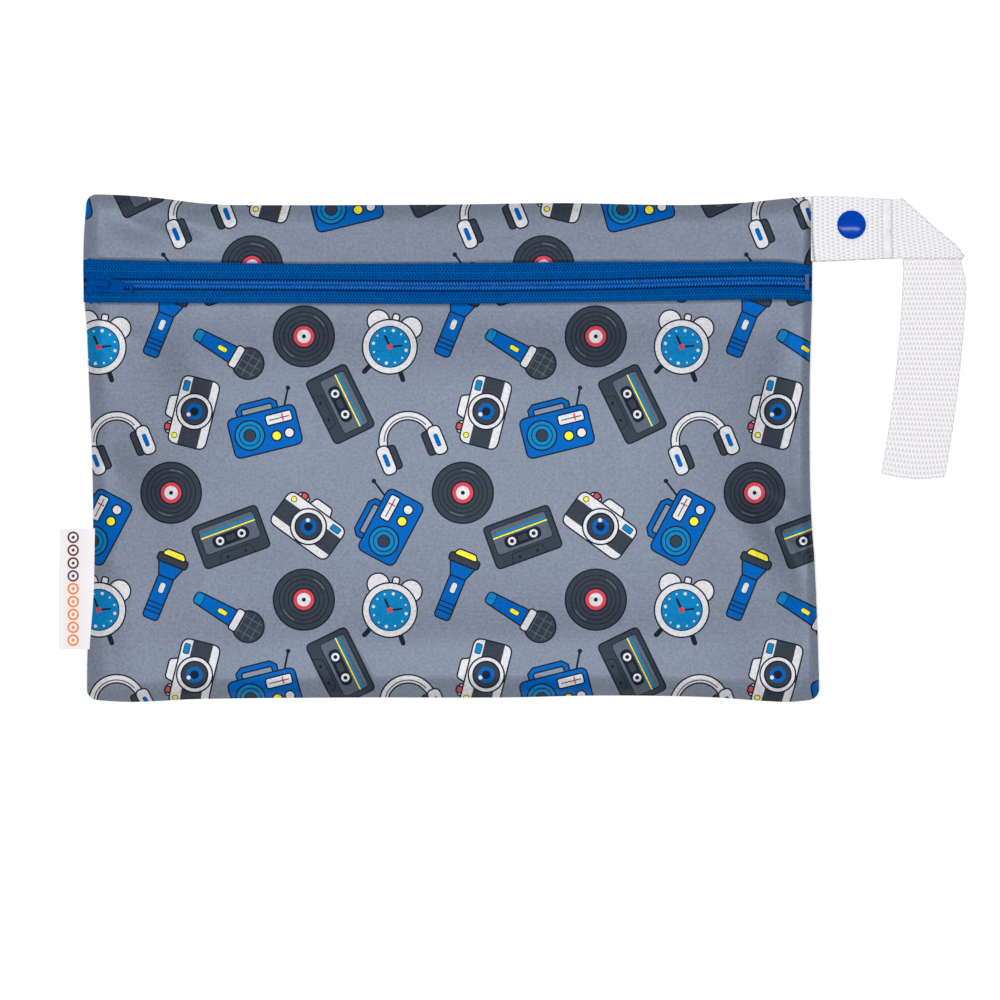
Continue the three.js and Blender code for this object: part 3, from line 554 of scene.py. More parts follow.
def shade(colour, factor):
    return tuple(min(255, channel * factor) for channel in colour)


def knit(name, colour):
    """Printed knit: fine wales and courses, a speckle of uneven dye and the sheen of its filaments."""
    graph = Graph(name, colour, Metallic=0.1, Specular_IOR_Level=0.01)
    x, y = graph.pair("Object")
    speckle = graph.noise(950, 3, 0.7)
    tone = graph.math("ADD", graph.spread(speckle, -1.2, 1.2), graph.spread(graph.noise(45, 2), 0.35, 0.65))
    dyed = graph.blend(tone, shade(colour, 0.91 * MATT), shade(colour, 1.09 * MATT))
    stitches = graph.math("MULTIPLY", graph.wave(x, 0.62 * MM), graph.wave(y, 0.5 * MM, 1.1))
    grain = graph.math("MULTIPLY_ADD", stitches, 0.5, speckle)
    return graph.finish(dyed, graph.spread(speckle, 0.3, 0.42), grain, 0.09, 0.5)


def tape_weave():
    """Zip tape: herringbone rows of slanted yarns, with a row of long stitches along its middle."""
    graph = Graph("zip_tape_weave", ZIP_BLUE, Metallic=0.1, Specular_IOR_Level=0.0)
    along, aside = graph.pair("UV")
    out = graph.math("ABSOLUTE", aside)
    row = graph.math("DIVIDE", graph.math("SUBTRACT", out, RIDGE_LINE - TAPE_ROW / 2), TAPE_ROW)
    lean = graph.math("MULTIPLY_ADD", graph.math("PINGPONG", row, 1.0), 1.1, along)
    uneven = graph.noise(420, 3, 0.6)
    yarns = graph.wave(graph.math("MULTIPLY_ADD", uneven, 0.9, lean), COIL_PITCH)
    rows = graph.spread(graph.wave(row, 1.0, -math.pi / 2), 0.35, 1.0)
    weave = graph.math("MULTIPLY", graph.math("POWER", yarns, 1.6), rows)
    on_ridge = graph.within(graph.math("SUBTRACT", out, RIDGE_LINE), TAPE_ROW / 2)
    height = graph.math("MULTIPLY", weave, graph.spread(on_ridge, 0.75, 1.45))
    # Painted light: the weave's height picks the colour, from painted shade in its hollows to painted
    # highlight on its raised yarns and long stitches, with random unevenness on top.
    tone = graph.math("MULTIPLY_ADD", uneven, 0.3, graph.math("SUBTRACT", height, 0.08))
    # Painted shadow: the tape is darkened under the coils and in a narrow band beside them.
    shadow = graph.math("MULTIPLY", graph.math("LESS_THAN", out, COIL_EDGE + 0.25), 0.8)
    woven = graph.blend(shadow, graph.blend(tone, ZIP_PAINTED_SHADE, ZIP_PAINTED_HIGHLIGHT), shade(ZIP_PAINTED_SHADE, 0.5))
    return graph.finish(woven, graph.spread(uneven, 0.5, 0.75), height, 0.22, 0.8)


def webbing_weave():
    """Webbing: picks lie across the strip, and the yarns that cross them float over every other one."""
    graph = Graph("webbing_weave", WEB_WHITE, Specular_IOR_Level=0.05)
    along, aside = graph.pair("UV")
    uneven = graph.noise(500, 2)
    shifted = graph.math("MULTIPLY_ADD", uneven, 0.35, along)
    by_turns = graph.math("SINE", graph.math("MULTIPLY", shifted, math.pi / RIB_PITCH))
    yarns = graph.math("SINE", graph.math("MULTIPLY", aside, 2 * math.pi / YARN_PITCH))
    floats = graph.spread(graph.math("MULTIPLY", by_turns, yarns), 0.5, 1)
    height = graph.math("MULTIPLY_ADD", graph.wave(shifted, RIB_PITCH), 0.4, floats)
    # Painted shade: the weave's low points are coloured darker, towards WEB_SHADE.
    painted_shade_in_dips = graph.math("POWER", graph.spread(height, 1, 0.29), 1.4)
    woven = graph.blend(painted_shade_in_dips, WEB_WHITE, WEB_SHADE)
    return graph.finish(woven, graph.spread(uneven, 0.55, 0.8), height, 0.3, 0.9)


def satin():
    """Satin ribbon: threads so fine that they show as a sheen, with a plain chain of printed rings."""
    graph = Graph("label_satin", SATIN_WHITE, Sheen_Weight=0.1, Specular_IOR_Level=0.3)
    out, along = graph.pair("UV")
    threads = graph.noise(900, 2)
    cell = graph.math("WRAP", along, RING_PITCH / 2, -RING_PITCH / 2)
    off = graph.math("SUBTRACT", out, RING_LINE)
    radius = graph.math("SQRT", graph.math("MULTIPLY_ADD", cell, cell, graph.math("MULTIPLY", off, off)))
    on_ring = graph.within(graph.math("SUBTRACT", radius, RING_RADIUS), 0.36)
    inked = graph.math("MAXIMUM", on_ring, graph.math("LESS_THAN", radius, 0.62))
    shown = graph.math("MULTIPLY", inked, graph.within(along, 4.5 * RING_PITCH))
    ink = graph.blend(graph.math("GREATER_THAN", along, RING_PITCH / 2), RING_ORANGE, RING_BROWN)
    printed = graph.blend(shown, graph.blend(threads, shade(SATIN_WHITE, 0.97), SATIN_WHITE), ink)
    height = graph.math("ADD", graph.wave(out, 0.4), threads)
    return graph.finish(printed, graph.spread(threads, 0.4, 0.55), height, 0.04, 0.4)


def enamel(name, colour, roughness, gloss, grain=0.03):
    """Paint or moulded plastic: a shallow grain, and a gloss that wear has made uneven."""
    graph = Graph(name, colour, Specular_IOR_Level=gloss)
    wear = graph.noise(160, 4, 0.7)
    worn = graph.blend(wear, shade(colour, 0.88), shade(colour, 1.1))
    uneven = graph.spread(wear, roughness * 0.8, roughness * 1.25)
    return graph.finish(worn, uneven, graph.noise(700), grain, 0.5)


# The print: household gadgets drawn flat, each a list of (colour, outline) laid on one another

INK_WIDTH = 0.6
THIN_INK = 0.3
TILE = (112, 101)


def circle(x, y, radius, steps=28):
    turns = full_turn(steps)
    return np.column_stack([x + radius * np.cos(turns), y + radius * np.sin(turns)])


def arc(x, y, radius, start, end, steps=16):
    turns = np.radians(np.linspace(start, end, steps))
    return np.column_stack([x + radius * np.cos(turns), y + radius * np.sin(turns)])


def rounded(corners, radius, steps=4):
    """The polygon with each corner rounded."""
    corners = np.array(corners, float)
    points = []
    for before, here, after in zip(np.roll(corners, 1, 0), corners, np.roll(corners, -1, 0)):
        to_before, to_after = before - here, after - here
        lengths = np.linalg.norm(to_before), np.linalg.norm(to_after)
        a, b = to_before / lengths[0], to_after / lengths[1]
        half = math.acos(float(np.clip(a @ b, -1, 1))) / 2
        reach = min(radius / math.tan(half), 0.49 * lengths[0], 0.49 * lengths[1])
        for t in np.linspace(0, 1, steps + 1):
            points.append(here + a * reach * (1 - t) ** 2 + b * reach * t**2)
    return np.array(points)


def slab(left, low, right, high, radius):
    return rounded([(left, low), (right, low), (right, high), (left, high)], radius)


def band(points, width):
    """A line of even width with round ends."""
    points = np.array(points, float)
    step = np.gradient(points, axis=0)
    step /= np.linalg.norm(step, axis=1)[:, None]
    side = np.column_stack([-step[:, 1], step[:, 0]]) * width / 2

    def cap(centre, ahead, across):
        turns = np.linspace(0.4, math.pi - 0.4, 4)
        return [centre + ahead * math.sin(t) * width / 2 + across * math.cos(t) for t in turns]

    right, left = list(points - side), list((points + side)[::-1])
    return np.array(right + cap(points[-1], step[-1], -side[-1]) + left + cap(points[0], -step[0], side[0]))


def grown(points, width):
    """The outline moved outwards by a width."""
    ahead = np.roll(points, -1, 0) - points
    behind = points - np.roll(points, 1, 0)
    ahead /= np.maximum(np.linalg.norm(ahead, axis=1), 1e-9)[:, None]
    behind /= np.maximum(np.linalg.norm(behind, axis=1), 1e-9)[:, None]
    normal = np.column_stack([ahead[:, 1] + behind[:, 1], -ahead[:, 0] - behind[:, 0]])
    length = np.linalg.norm(normal, axis=1)[:, None]
    return points + normal / np.maximum(length, 0.7) ** 2 * 2 * width


def inked(colour, points, width=INK_WIDTH):
    return [("ink", grown(points, width)), (colour, points)]


camera = [
    *inked("white", slab(-9.6, 5, -5.6, 8, 0.8)),
    *inked("red", slab(-8.6, 7, -6.6, 8.6, 0.5)),
    *inked("white", rounded([(-4.6, 5), (5.4, 5), (3.8, 9.6), (-3, 9.6)], 1.2)),
    *inked("white", slab(-13, -8, 13, 6.4, 2.8)),
    ("slate", slab(-13, -5.2, 13, 2.6, 0.1)),
    *inked("white", circle(0.4, -0.9, 6.6)),
    *inked("slate", circle(0.4, -0.9, 4.8)),
    ("blue", circle(0.4, -0.9, 3.1)),
    ("ink", circle(0.4, -0.9, 1.7, 16)),
    ("white", circle(-1.2, 1, 0.8, 12)),
    *inked("sky", slab(7.6, 3.4, 11.2, 5.4, 0.5), THIN_INK),
    *inked("yellow", circle(-10.2, 4.4, 0.9, 14), THIN_INK),
]

radio = [
    ("ink", band([(9, 6), (12.5, 13.4)], 0.8)),
    ("ink", circle(12.6, 13.6, 0.9, 14)),
    *inked("blue", band([(-8, 6), (-8, 9.4), (-6.6, 10.6), (4.6, 10.6), (6, 9.4), (6, 6)], 1.5)),
    *inked("blue", slab(-13, -8, 13, 7, 2.4)),
    *inked("sky", circle(-6, -0.6, 5.4)),
    ("ink", circle(-6, -0.6, 4.2)),
    ("sky", circle(-6, -0.6, 3.8)),
    ("ink", circle(-6, -0.6, 2.5, 20)),
    ("slate", circle(-6, -0.6, 2.1, 20)),
    *inked("white", slab(1.6, 1.6, 11.2, 5, 0.7)),
    ("red", slab(7.6, 1.9, 8.2, 4.7, 0.1)),
    ("slate", slab(2.6, 3, 10.4, 3.4, 0.1)),
    *inked("yellow", circle(4, -3.2, 1.6, 18)),
    *inked("white", circle(9, -3.2, 1.6, 18)),
]

cassette = [
    *inked("slate", slab(-13, -8.2, 13, 8.2, 1.6)),
    *inked("steel", slab(-11, -3.4, 11, 6.6, 1.2), THIN_INK),
    ("sky", slab(-11, 3.9, 11, 4.7, 0.1)),
    ("yellow", slab(-11, 2.9, 11, 3.4, 0.1)),
    ("ink", slab(-7.4, -2.3, 7.4, 2.3, 2.2)),
    *[("white", circle(x, 0, 1.6, 18)) for x in (-4.4, 4.4)],
    *[("ink", circle(x, 0, 0.8, 12)) for x in (-4.4, 4.4)],
    ("slate", slab(-1.8, -1.1, 1.8, 1.1, 0.4)),
    *inked("slate", rounded([(-7, -8.2), (7, -8.2), (5.8, -4.9), (-5.8, -4.9)], 0.5), THIN_INK),
    *[("ink", circle(x, -6.7, 0.6, 12)) for x in (-3.6, 3.6)],
]

headphones = inked("white", band(arc(0, 0, 9.6, -6, 186, 22), 2.6))
headphones.append(("steel", band(arc(0, 0, 9.1, 20, 160), 0.5)))
for middle in (-1, 1):
    pad, shell = middle * 7.1, middle * 10.5
    headphones += inked("slate", slab(pad - 1.3, -8.4, pad + 1.3, 0.4, 1.1))
    headphones += inked("white", slab(shell - 2.3, -9.4, shell + 2.3, 1.4, 2.1))
    headphones.append(("blue", slab(shell - 0.9, -6.6, shell + 0.9, -1.4, 0.9)))

microphone = [
    *inked("blue", rounded([(-14.4, -2), (3, -3.2), (3, 3.2), (-14.4, 2)], 1.4)),
    *inked("sky", rounded([(-14.4, -2), (-11.4, -2.2), (-11.4, 2.2), (-14.4, 2)], 0.8), THIN_INK),
    *inked("slate", circle(8.8, 0, 5.8)),
]
for shift in (-3, 0, 3):
    reach = math.sqrt(5.2**2 - shift**2)
    microphone.append(("steel", band([(8.8 + shift, -reach), (8.8 + shift, reach)], 0.35)))
    microphone.append(("steel", band([(8.8 - reach, shift), (8.8 + reach, shift)], 0.35)))
microphone += inked("white", slab(2.4, -4.2, 5, 4.2, 0.9))
microphone += inked("yellow", slab(-4.4, -0.8, -0.8, 0.8, 0.7), THIN_INK)

record = inked("slate", circle(0, 0, 11.4, 44))
for radius in (9.6, 7.9, 6.2):
    record += [("ink", circle(0, 0, radius, 40)), ("slate", circle(0, 0, radius - 0.32, 40))]
record += [("steel", band(arc(0, 0, 8.7, start, start + 34, 8), 0.5)) for start in (28, 208)]
record += inked("red", circle(0, 0, 4))
record += [("white", circle(0, 0, 2.6, 20)), ("ink", circle(0, 0, 0.8, 12))]

clock = []
for side in (-1, 1):
    clock.append(("ink", band([(side * 5, -7), (side * 7.6, -11.4)], 1.9)))
    clock += inked("white", circle(side * 6.4, 8.8, 4, 24))
clock += inked("white", slab(-1, 8, 1, 12.6, 0.6))
clock += inked("white", circle(0, 0, 10.2, 40))
clock += [("ink", circle(0, 0, 8.1, 36)), ("sky", circle(0, 0, 7.7, 36))]
for hour, turn in enumerate(full_turn(12)):
    dot = 0.38 if hour % 3 else 0.65
    clock.append(("white", circle(6.4 * math.cos(turn), 6.4 * math.sin(turn), dot, 10)))
clock.append(("ink", band([(0, 0), (-2.6, 3.6)], 0.9)))
clock.append(("ink", band([(0, 0), (4.4, 1.4)], 0.7)))
clock.append(("red", circle(0, 0, 1.1, 14)))

torch = [
    *inked("blue", slab(-14, -2.8, 3.4, 2.8, 1.3)),
    *[("ink", slab(x - 0.25, -2.8, x + 0.25, 2.8, 0.1)) for x in (-11.4, -9.6, -7.8)],
    *inked("blue", rounded([(3, -2.8), (8.6, -5), (8.6, 5), (3, 2.8)], 0.8)),
    *inked("slate", slab(8.2, -5.8, 11, 5.8, 1)),
    *inked("yellow", rounded([(11, -4.6), (13, -3.2), (13, 3.2), (11, 4.6)], 1)),
    *inked("white", slab(-3.6, -1, 0.4, 1, 0.9), THIN_INK),
]

# Where the motifs lie on one repeat of the print: (motif, x, y, turn in degrees)
PRINT_LAYOUT = (
    (camera, 13, 15, 76), (radio, 41, 8, 14), (cassette, 70, 18, -64), (headphones, 96, 4, 22),
    (microphone, 27, 38, -30), (record, 56, 44, 0), (clock, 89, 40, -12), (torch, 2, 50, 68),
    (cassette, 28, 68, 20), (camera, 58, 73, -36), (radio, 89, 72, 62), (record, 5, 85, 30),
)
REPEATS = range(-3, 4)
MOTIF_REACH = 20


def printed_shapes(shift, mirror):
    """Every shape of the print that can lie on the pouch, bottom ones first."""
    shapes = []
    for column, row, (motif, x, y, turn) in itertools.product(REPEATS, REPEATS, PRINT_LAYOUT):
        centre = np.array([x + column * TILE[0] + shift[0], y + row * TILE[1] + shift[1]])
        if abs(centre[0]) > half_width + MOTIF_REACH or abs(centre[1]) > half_length + MOTIF_REACH:
            continue
        t = math.radians(turn)
        spin = np.array([[math.cos(t), math.sin(t)], [-math.sin(t), math.cos(t)]])
        for colour, points in motif:
            laid = points @ spin + centre
            shapes.append((colour, laid * (-1, 1) if mirror else laid))
    return shapes


def within(points, outline_points):
    """Which points lie inside a closed line."""
    x, y = points[:, 0, None], points[:, 1, None]
    start = outline_points
    end = np.roll(start, -1, 0)
    crosses = (start[:, 1] > y) != (end[:, 1] > y)
    rise = np.where(start[:, 1] == end[:, 1], 1e-12, end[:, 1] - start[:, 1])
    reach = start[:, 0] + (y - start[:, 1]) / rise * (end[:, 0] - start[:, 0])
    return ((crosses & (x < reach)).sum(axis=1) % 2).astype(bool)


def printed_cloth(name, inside, height, lines, shift, mirror=False):
    """A cloth surface cut along every edge of its print, so that each colour is its own faces.

    inside says how far a point is inside the cloth, height gives the surface and lines are closed or open
    lines that the mesh follows, as (points, closed).
    """
    shapes = [row for row in printed_shapes(shift, mirror) if (inside(*row[1].T) > -0.1).any()]
    xs = np.arange(-half_width - 4, half_width + 4, CLOTH_GRID)
    ys = np.arange(-half_length - 4, half_length + 4, CLOTH_GRID * 0.866)
    free = np.array([(x + CLOTH_GRID / 2 * (k % 2), y) for k, y in enumerate(ys) for x in xs])
    free = free[inside(*free.T) > OUTLINE_STEPS[-1] / 2]
    points, edges = [Vector(p) for p in free], []
    for line, closed in [*lines, *((points_of, True) for _, points_of in shapes)]:
        start, count = len(points), len(line)
        points.extend(Vector(p) for p in line)
        edges.extend((start + k, start + (k + 1) % count) for k in range(count if closed else count - 1))
    flat, _, faces, *_ = delaunay_2d_cdt(points, edges, [], 0, 1e-4, False)
    flat, faces = np.array([tuple(p) for p in flat]), np.array([tuple(f) for f in faces])
    centres = flat[faces].mean(axis=1)
    kept = inside(*centres.T) > 0
    faces, centres = faces[kept], centres[kept]
    names = list(PRINT_COLOURS)
    colours = np.zeros(len(faces), int)
    for colour, line in shapes:
        low, high = line.min(axis=0), line.max(axis=0)
        near = np.nonzero(((centres >= low) & (centres <= high)).all(axis=1))[0]
        if len(near):
            colours[near[within(centres[near], line)]] = names.index(colour)
    used, faces = np.unique(faces, return_inverse=True)
    faces = faces.reshape(-1, 3)
    flat = flat[used]
    if mirror:
        faces = faces[:, ::-1]
    x, y = flat[:, 0], flat[:, 1]
    piece = mesh_object(name, np.column_stack([x, y, height(x, y)]), faces)
    step = 0.03
    slope_x = (height(x + step, y) - height(x - step, y)) / (2 * step)
    slope_y = (height(x, y + step) - height(x, y - step)) / (2 * step)
    normals = np.column_stack([-slope_x, -slope_y, np.ones(len(x))])
    normals *= (-1 if mirror else 1) / np.linalg.norm(normals, axis=1)[:, None]
    piece.data.normals_split_custom_set_from_vertices(normals.tolist())
    piece.data.polygons.foreach_set("material_index", colours)
    return piece


def zip_edge_lines(side):
    """Lines along a front panel's folded edge, a little longer than the pouch is wide."""
    across = np.linspace(-1.02, 1.02, 110)
    levels = [zip_edge(across, side) + side * step for step in ZIP_EDGE_STEPS]
    shares = (across + 1) / 2
    return [(np.column_stack([mix(left_line(y), right_line(y), shares), y]), False) for y in levels]


def front_panel(name, node, side, shift):
    """The front's cloth on one side of the zip."""

    def inside(x, y):
        across, _, depth = place(x, y)
        return np.minimum(depth, side * (y - zip_edge(across, side)))

    piece = printed_cloth(name, inside, panel_height(side), outline_lines + zip_edge_lines(side), shift)
    return dress(piece, print_finishes, [node])


# Cloth panels

print_finishes = [knit("print_" + name, colour) for name, colour in PRINT_COLOURS.items()]
outline_lines = [(outline(step), True) for step in OUTLINE_STEPS]
lower_panel = front_panel("cloth_front_lower", "lower_front_panel", -1, (0, 0))
upper_panel = front_panel("cloth_front_upper", "upper_front_panel", 1, (31, -14))
back_panel = printed_cloth(
    "cloth_back", lambda x, y: place(x, y)[2], back_height, outline_lines, (12, 30), mirror=True
)
dress(back_panel, print_finishes, ["back_panel"])


# The zip


def split_at(x):
    """Half of the air between the tapes: wide at the slider's neck, and narrow under the coils."""
    closed = ease((x - slider_x + SLIDER_LENGTH / 4 - 1.2) / (SLIDER_LENGTH / 4))
    return mix(0.9, TAPE_SPLIT / 2, closed)


slider_x = float(left_line(coil_line(-1.0)) + SLIDER_SETBACK)
slider_y = float(coil_line(slider_x / half_width))
slider_level = float(tape_level(slider_x, slider_y))


def tape(name, side):
    """One tape, with a thin raised ridge along it and a flat woven edge."""
    stations = np.linspace(-1, 1, TAPE_STATIONS)
    shares = np.array(TAPE_SHARES)
    points, uvs = [], []
    for across in stations:
        middle = coil_line(across)
        left, right = left_line(middle) + 0.05, right_line(middle) - 0.05
        x = mix(left, right, (across + 1) / 2)
        tucked = TAPE_TUCK * ease(min(x - left - 1, right - x - 1) / TAPE_TUCK_FADE)
        far = zip_edge(across, side) + side * tucked
        y = mix(middle + side * split_at(x), far, shares)
        out = np.abs(y - middle)
        ridge = 0.12 * bell((out - RIDGE_LINE) / 0.45)
        along = np.full(len(y), x)
        points.extend(np.column_stack([along, y, tape_level(along, y) + ridge]))
        uvs.extend(np.column_stack([along, side * out]))
    faces = grid_faces(len(stations), len(shares))
    if side < 0:
        faces = [face[::-1] for face in faces]
    return mesh_object(name, points, faces, uvs=uvs)


weave = tape_weave()
for side, name, node in ((1, "tape_upper", "zip_tape_upper"), (-1, "tape_lower", "zip_tape_lower")):
    piece = dress(tape(name, side), [weave], [node])


def coil(name, side):
    """One coil: a flattened spring whose turns reach past the middle line between the other coil's."""
    start, end = slider_x + 0.6, half_width - STOP_SETBACK - 0.4
    turns = int((end - start) / COIL_PITCH)
    angle = np.linspace(0, 2 * math.pi * turns, turns * COIL_POINTS + 1)
    upright = angle + 0.85 * np.cos(angle)
    x = start + upright / (2 * math.pi) * COIL_PITCH + (0 if side > 0 else COIL_PITCH / 2)
    middle = coil_line(x / half_width)
    base = tape_level(x, middle) + GAP / 2
    reach = (COIL_SHOWN + COIL_CROSSING) / 2 - COIL_WIRE
    centre = side * ((COIL_SHOWN - COIL_CROSSING) / 2 + split_at(x))
    path = np.column_stack([
        x,
        middle + centre + side * reach * np.cos(angle),
        base + COIL_HEIGHT / 2 + (COIL_HEIGHT / 2 - COIL_WIRE) * np.sin(angle),
    ])
    ahead = np.gradient(path, axis=0)
    ahead /= np.linalg.norm(ahead, axis=1)[:, None]
    aside = np.cross(ahead, (1.0, 0, 0))
    aside /= np.linalg.norm(aside, axis=1)[:, None]
    over = np.cross(ahead, aside)
    rings = [path + COIL_WIRE * (math.cos(turn) * aside + math.sin(turn) * over) for turn in full_turn(6)]
    return tube(name, np.array(rings).transpose(1, 0, 2).reshape(-1, 3), len(rings))


coil_finish = enamel("coil_nylon", COIL_BLUE, 0.24, gloss=0.3)
dress(coil("coil_upper", 1), [coil_finish], ["zip_coil_upper"])
dress(coil("coil_lower", -1), [coil_finish], ["zip_coil_lower"])


def plate(loops, thickness, bevel, z=0.0, tilt=0.0):
    """A flat plate with holes and rounded edges, and the matrix that lifts its middle to z and tilts it."""
    shape = bpy.data.curves.new("plate", "CURVE")
    shape.dimensions, shape.fill_mode = "2D", "BOTH"
    shape.extrude = (thickness / 2 - bevel) * MM
    shape.bevel_depth, shape.bevel_resolution, shape.offset = bevel * MM, 3, -bevel * MM
    for loop in loops:
        spline = shape.splines.new("POLY")
        spline.points.add(len(loop) - 1)
        for point, (x, y) in zip(spline.points, loop):
            point.co = (x * MM, y * MM, 0, 1)
        spline.use_cyclic_u = True
    piece = linked("plate", shape)
    mesh = bpy.data.meshes.new_from_object(piece.evaluated_get(bpy.context.evaluated_depsgraph_get()))
    bpy.data.objects.remove(piece)
    return mesh, Matrix.Translation((0, 0, z)) @ Matrix.Rotation(tilt, 4, "X")


def smooth_by_angle(piece, degrees):
    piece.data.shade_smooth()
    piece.data.set_sharp_from_angle(angle=math.radians(degrees))
    return piece


def joined(name, matrix, plates):
    """One object from several plates, with a matrix that moves them all. It is in millimetres."""
    points, faces = [], []
    for mesh, own in plates:
        start = len(points)
        points.extend(matrix @ own @ (v.co / MM) for v in mesh.vertices)
        faces.extend([start + i for i in p.vertices] for p in mesh.polygons)
    return smooth_by_angle(mesh_object(name, points, faces, smooth=False), 40)


def tapered(start, end, start_width, end_width, radius):
    corners = [
        (start, -start_width / 2), (end, -end_width / 2), (end, end_width / 2), (start, start_width / 2),
    ]
    return rounded(corners, radius, 6)


plate_underside = GAP + COIL_HEIGHT + SLIDER_PLAY
plate_top = plate_underside + PLATE
on_slider = Matrix.Translation((slider_x, slider_y, slider_level)) @ Matrix.Rotation(SLIDER_YAW, 4, "Z")


def slider():
    half = SLIDER_LENGTH / 2
    bottom_z = -TAPE_THICKNESS - SLIDER_PLAY - PLATE / 2
    plates = [
        plate([tapered(-half, half, SLIDER_WIDTH, SLIDER_NOSE, 1.6)], PLATE, 0.32, plate_top - PLATE / 2),
        plate([tapered(1.2 - half, half - 1.2, 4.9, 4.1, 1)], 0.5, 0.22, plate_top + 0.05),
        plate([tapered(1.5 - half, half, SLIDER_WIDTH, SLIDER_NOSE, 1.6)], PLATE, 0.3, bottom_z),
        plate([circle(-half / 2, 0, 0.6, 20)], plate_top - bottom_z, 0.05, (plate_top + bottom_z) / 2),
    ]
    for side in (-1, 1):
        wall = [(1.5 - half, 3.9), (1.5 - half, 3.3), (half - 2.4, 2.8), (half - 2.4, 3.4)]
        flange_z = (plate_underside + 0.8) / 2
        plates.append(plate([np.array(wall) * (1, side)], plate_underside - 0.3, 0.12, flange_z))
    turns = np.linspace(0, math.pi, 22)
    arch = []
    for bar in (0, BRIDGE_BAR):
        rise = np.sin(turns) ** 0.62 * (BRIDGE_HEIGHT - bar) - 0.3
        arch.append(np.column_stack([np.cos(turns) * (BRIDGE_LENGTH / 2 - bar), rise]))
    bridge = np.vstack([arch[0], arch[1][::-1]])
    plates.append(plate([bridge], BRIDGE_WIDTH, 0.3, plate_top, math.pi / 2))
    return joined("slider_body", on_slider, plates)


def pull_tab():
    start = -0.55
    outer = tapered(start, TAB_LENGTH + start, TAB_WIDTH, TAB_END_WIDTH, 1.2)
    window = rounded([(0.55, -1.9), (5.2, -1.9), (7, 0), (5.2, 1.9), (0.55, 1.9)], 0.6)
    slot = slab(11.05, -0.8, 13.25, 0.8, 0.25)
    on_bridge = on_slider @ Matrix.Translation((PIVOT_OFFSET, 0, plate_top + PIVOT_HEIGHT))
    tab = plate([outer, window, slot], TAB_THICKNESS, 0.28)
    return joined("slider_pull_tab", on_bridge @ Matrix.Rotation(TAB_YAW, 4, "Z"), [tab])


def end_stop():
    x = half_width - STOP_SETBACK
    y = float(coil_line(x / half_width))
    level = float(tape_level(x, y)) + GAP
    clamp = plate([slab(-0.8, -3.05, 0.8, 3.05, 0.3)], 0.6, 0.2, 1.9)
    heel = plate([slab(0.3, -3.05, 0.8, 3.05, 0.15)], 2, 0.12, 1.1)
    return joined("zip_stop", Matrix.Translation((x, y, level)), [clamp, heel])


slider_finish = enamel("slider_enamel", SLIDER_BLUE, 0.25, gloss=0.0)
dress(slider(), [slider_finish], ["zip_slider"])
dress(pull_tab(), [slider_finish], ["pull_tab"], TAB)
dress(end_stop(), [enamel("stop_metal", STOP_GREY, 0.4, gloss=0.0)], ["zip_end_stop"])


# The webbing handle

web_pitch = WEB_THICKNESS + GAP
web_start = half_width - SEWN_IN
web_middle = float(end_line(1.0, 1)) - WEB_SETBACK - WEB_WIDTH / 8
hem_edge = half_width + (web_pitch + WEB_THICKNESS) / 2 - 0.3
corner_reach = SEWN_IN + WEB_RUN
# (length of the run, slant of the fold that ends it, half the height that it turns through, which way)
WEB_FOLDS = (
    (corner_reach, -1, web_pitch / 2, -1),
    (WEB_DROP, 0, web_pitch / 2, 1),
    (WEB_DROP, 1, 1.5 * web_pitch, 1),
    (web_start + corner_reach - hem_edge, 0, web_pitch / 2, -1),
    (WEB_HEM, 0, 0, 1),
)

snap_x = half_width + SNAP_SETBACK
snap_y = web_middle + SNAP_OFFSET
first_at_snap = SNAP_CAP + GAP + WEB_THICKNESS / 2
core_level = first_at_snap + WEB_THICKNESS / 2 + GAP
back_at_snap = core_level + SNAP_CORE + GAP + WEB_THICKNESS / 2


def layer_level(layer):
    return WEB_THICKNESS / 2 + layer * web_pitch


def lift_at(x, layer):
    rest_from, rest_to = snap_x + SNAP_DIAMETER / 2, half_width + WEB_RUN - WEB_WIDTH * 0.55
    settled = ease((x - rest_from) / (rest_to - rest_from))
    if layer == 0:
        from_seam = ease((x - half_width) / (SNAP_SETBACK - SNAP_CORE_DIAMETER / 2))
        lift = mix(SEAM_HEIGHT - layer_level(2), first_at_snap - layer_level(2), from_seam)
        return mix(lift, 0, settled)
    return 0 if layer < 3 else mix(back_at_snap - layer_level(3), 0, settled)


def bend_of(layer):
    """How far a fold stands out in plan, and the length of strip that it takes."""
    _, slant, radius, _ = WEB_FOLDS[layer]
    reach = min(radius, WEB_BULGE[layer]) if radius else 0
    mean = (reach + radius) / 2
    return reach, mean, math.pi * mean * math.hypot(1, slant)


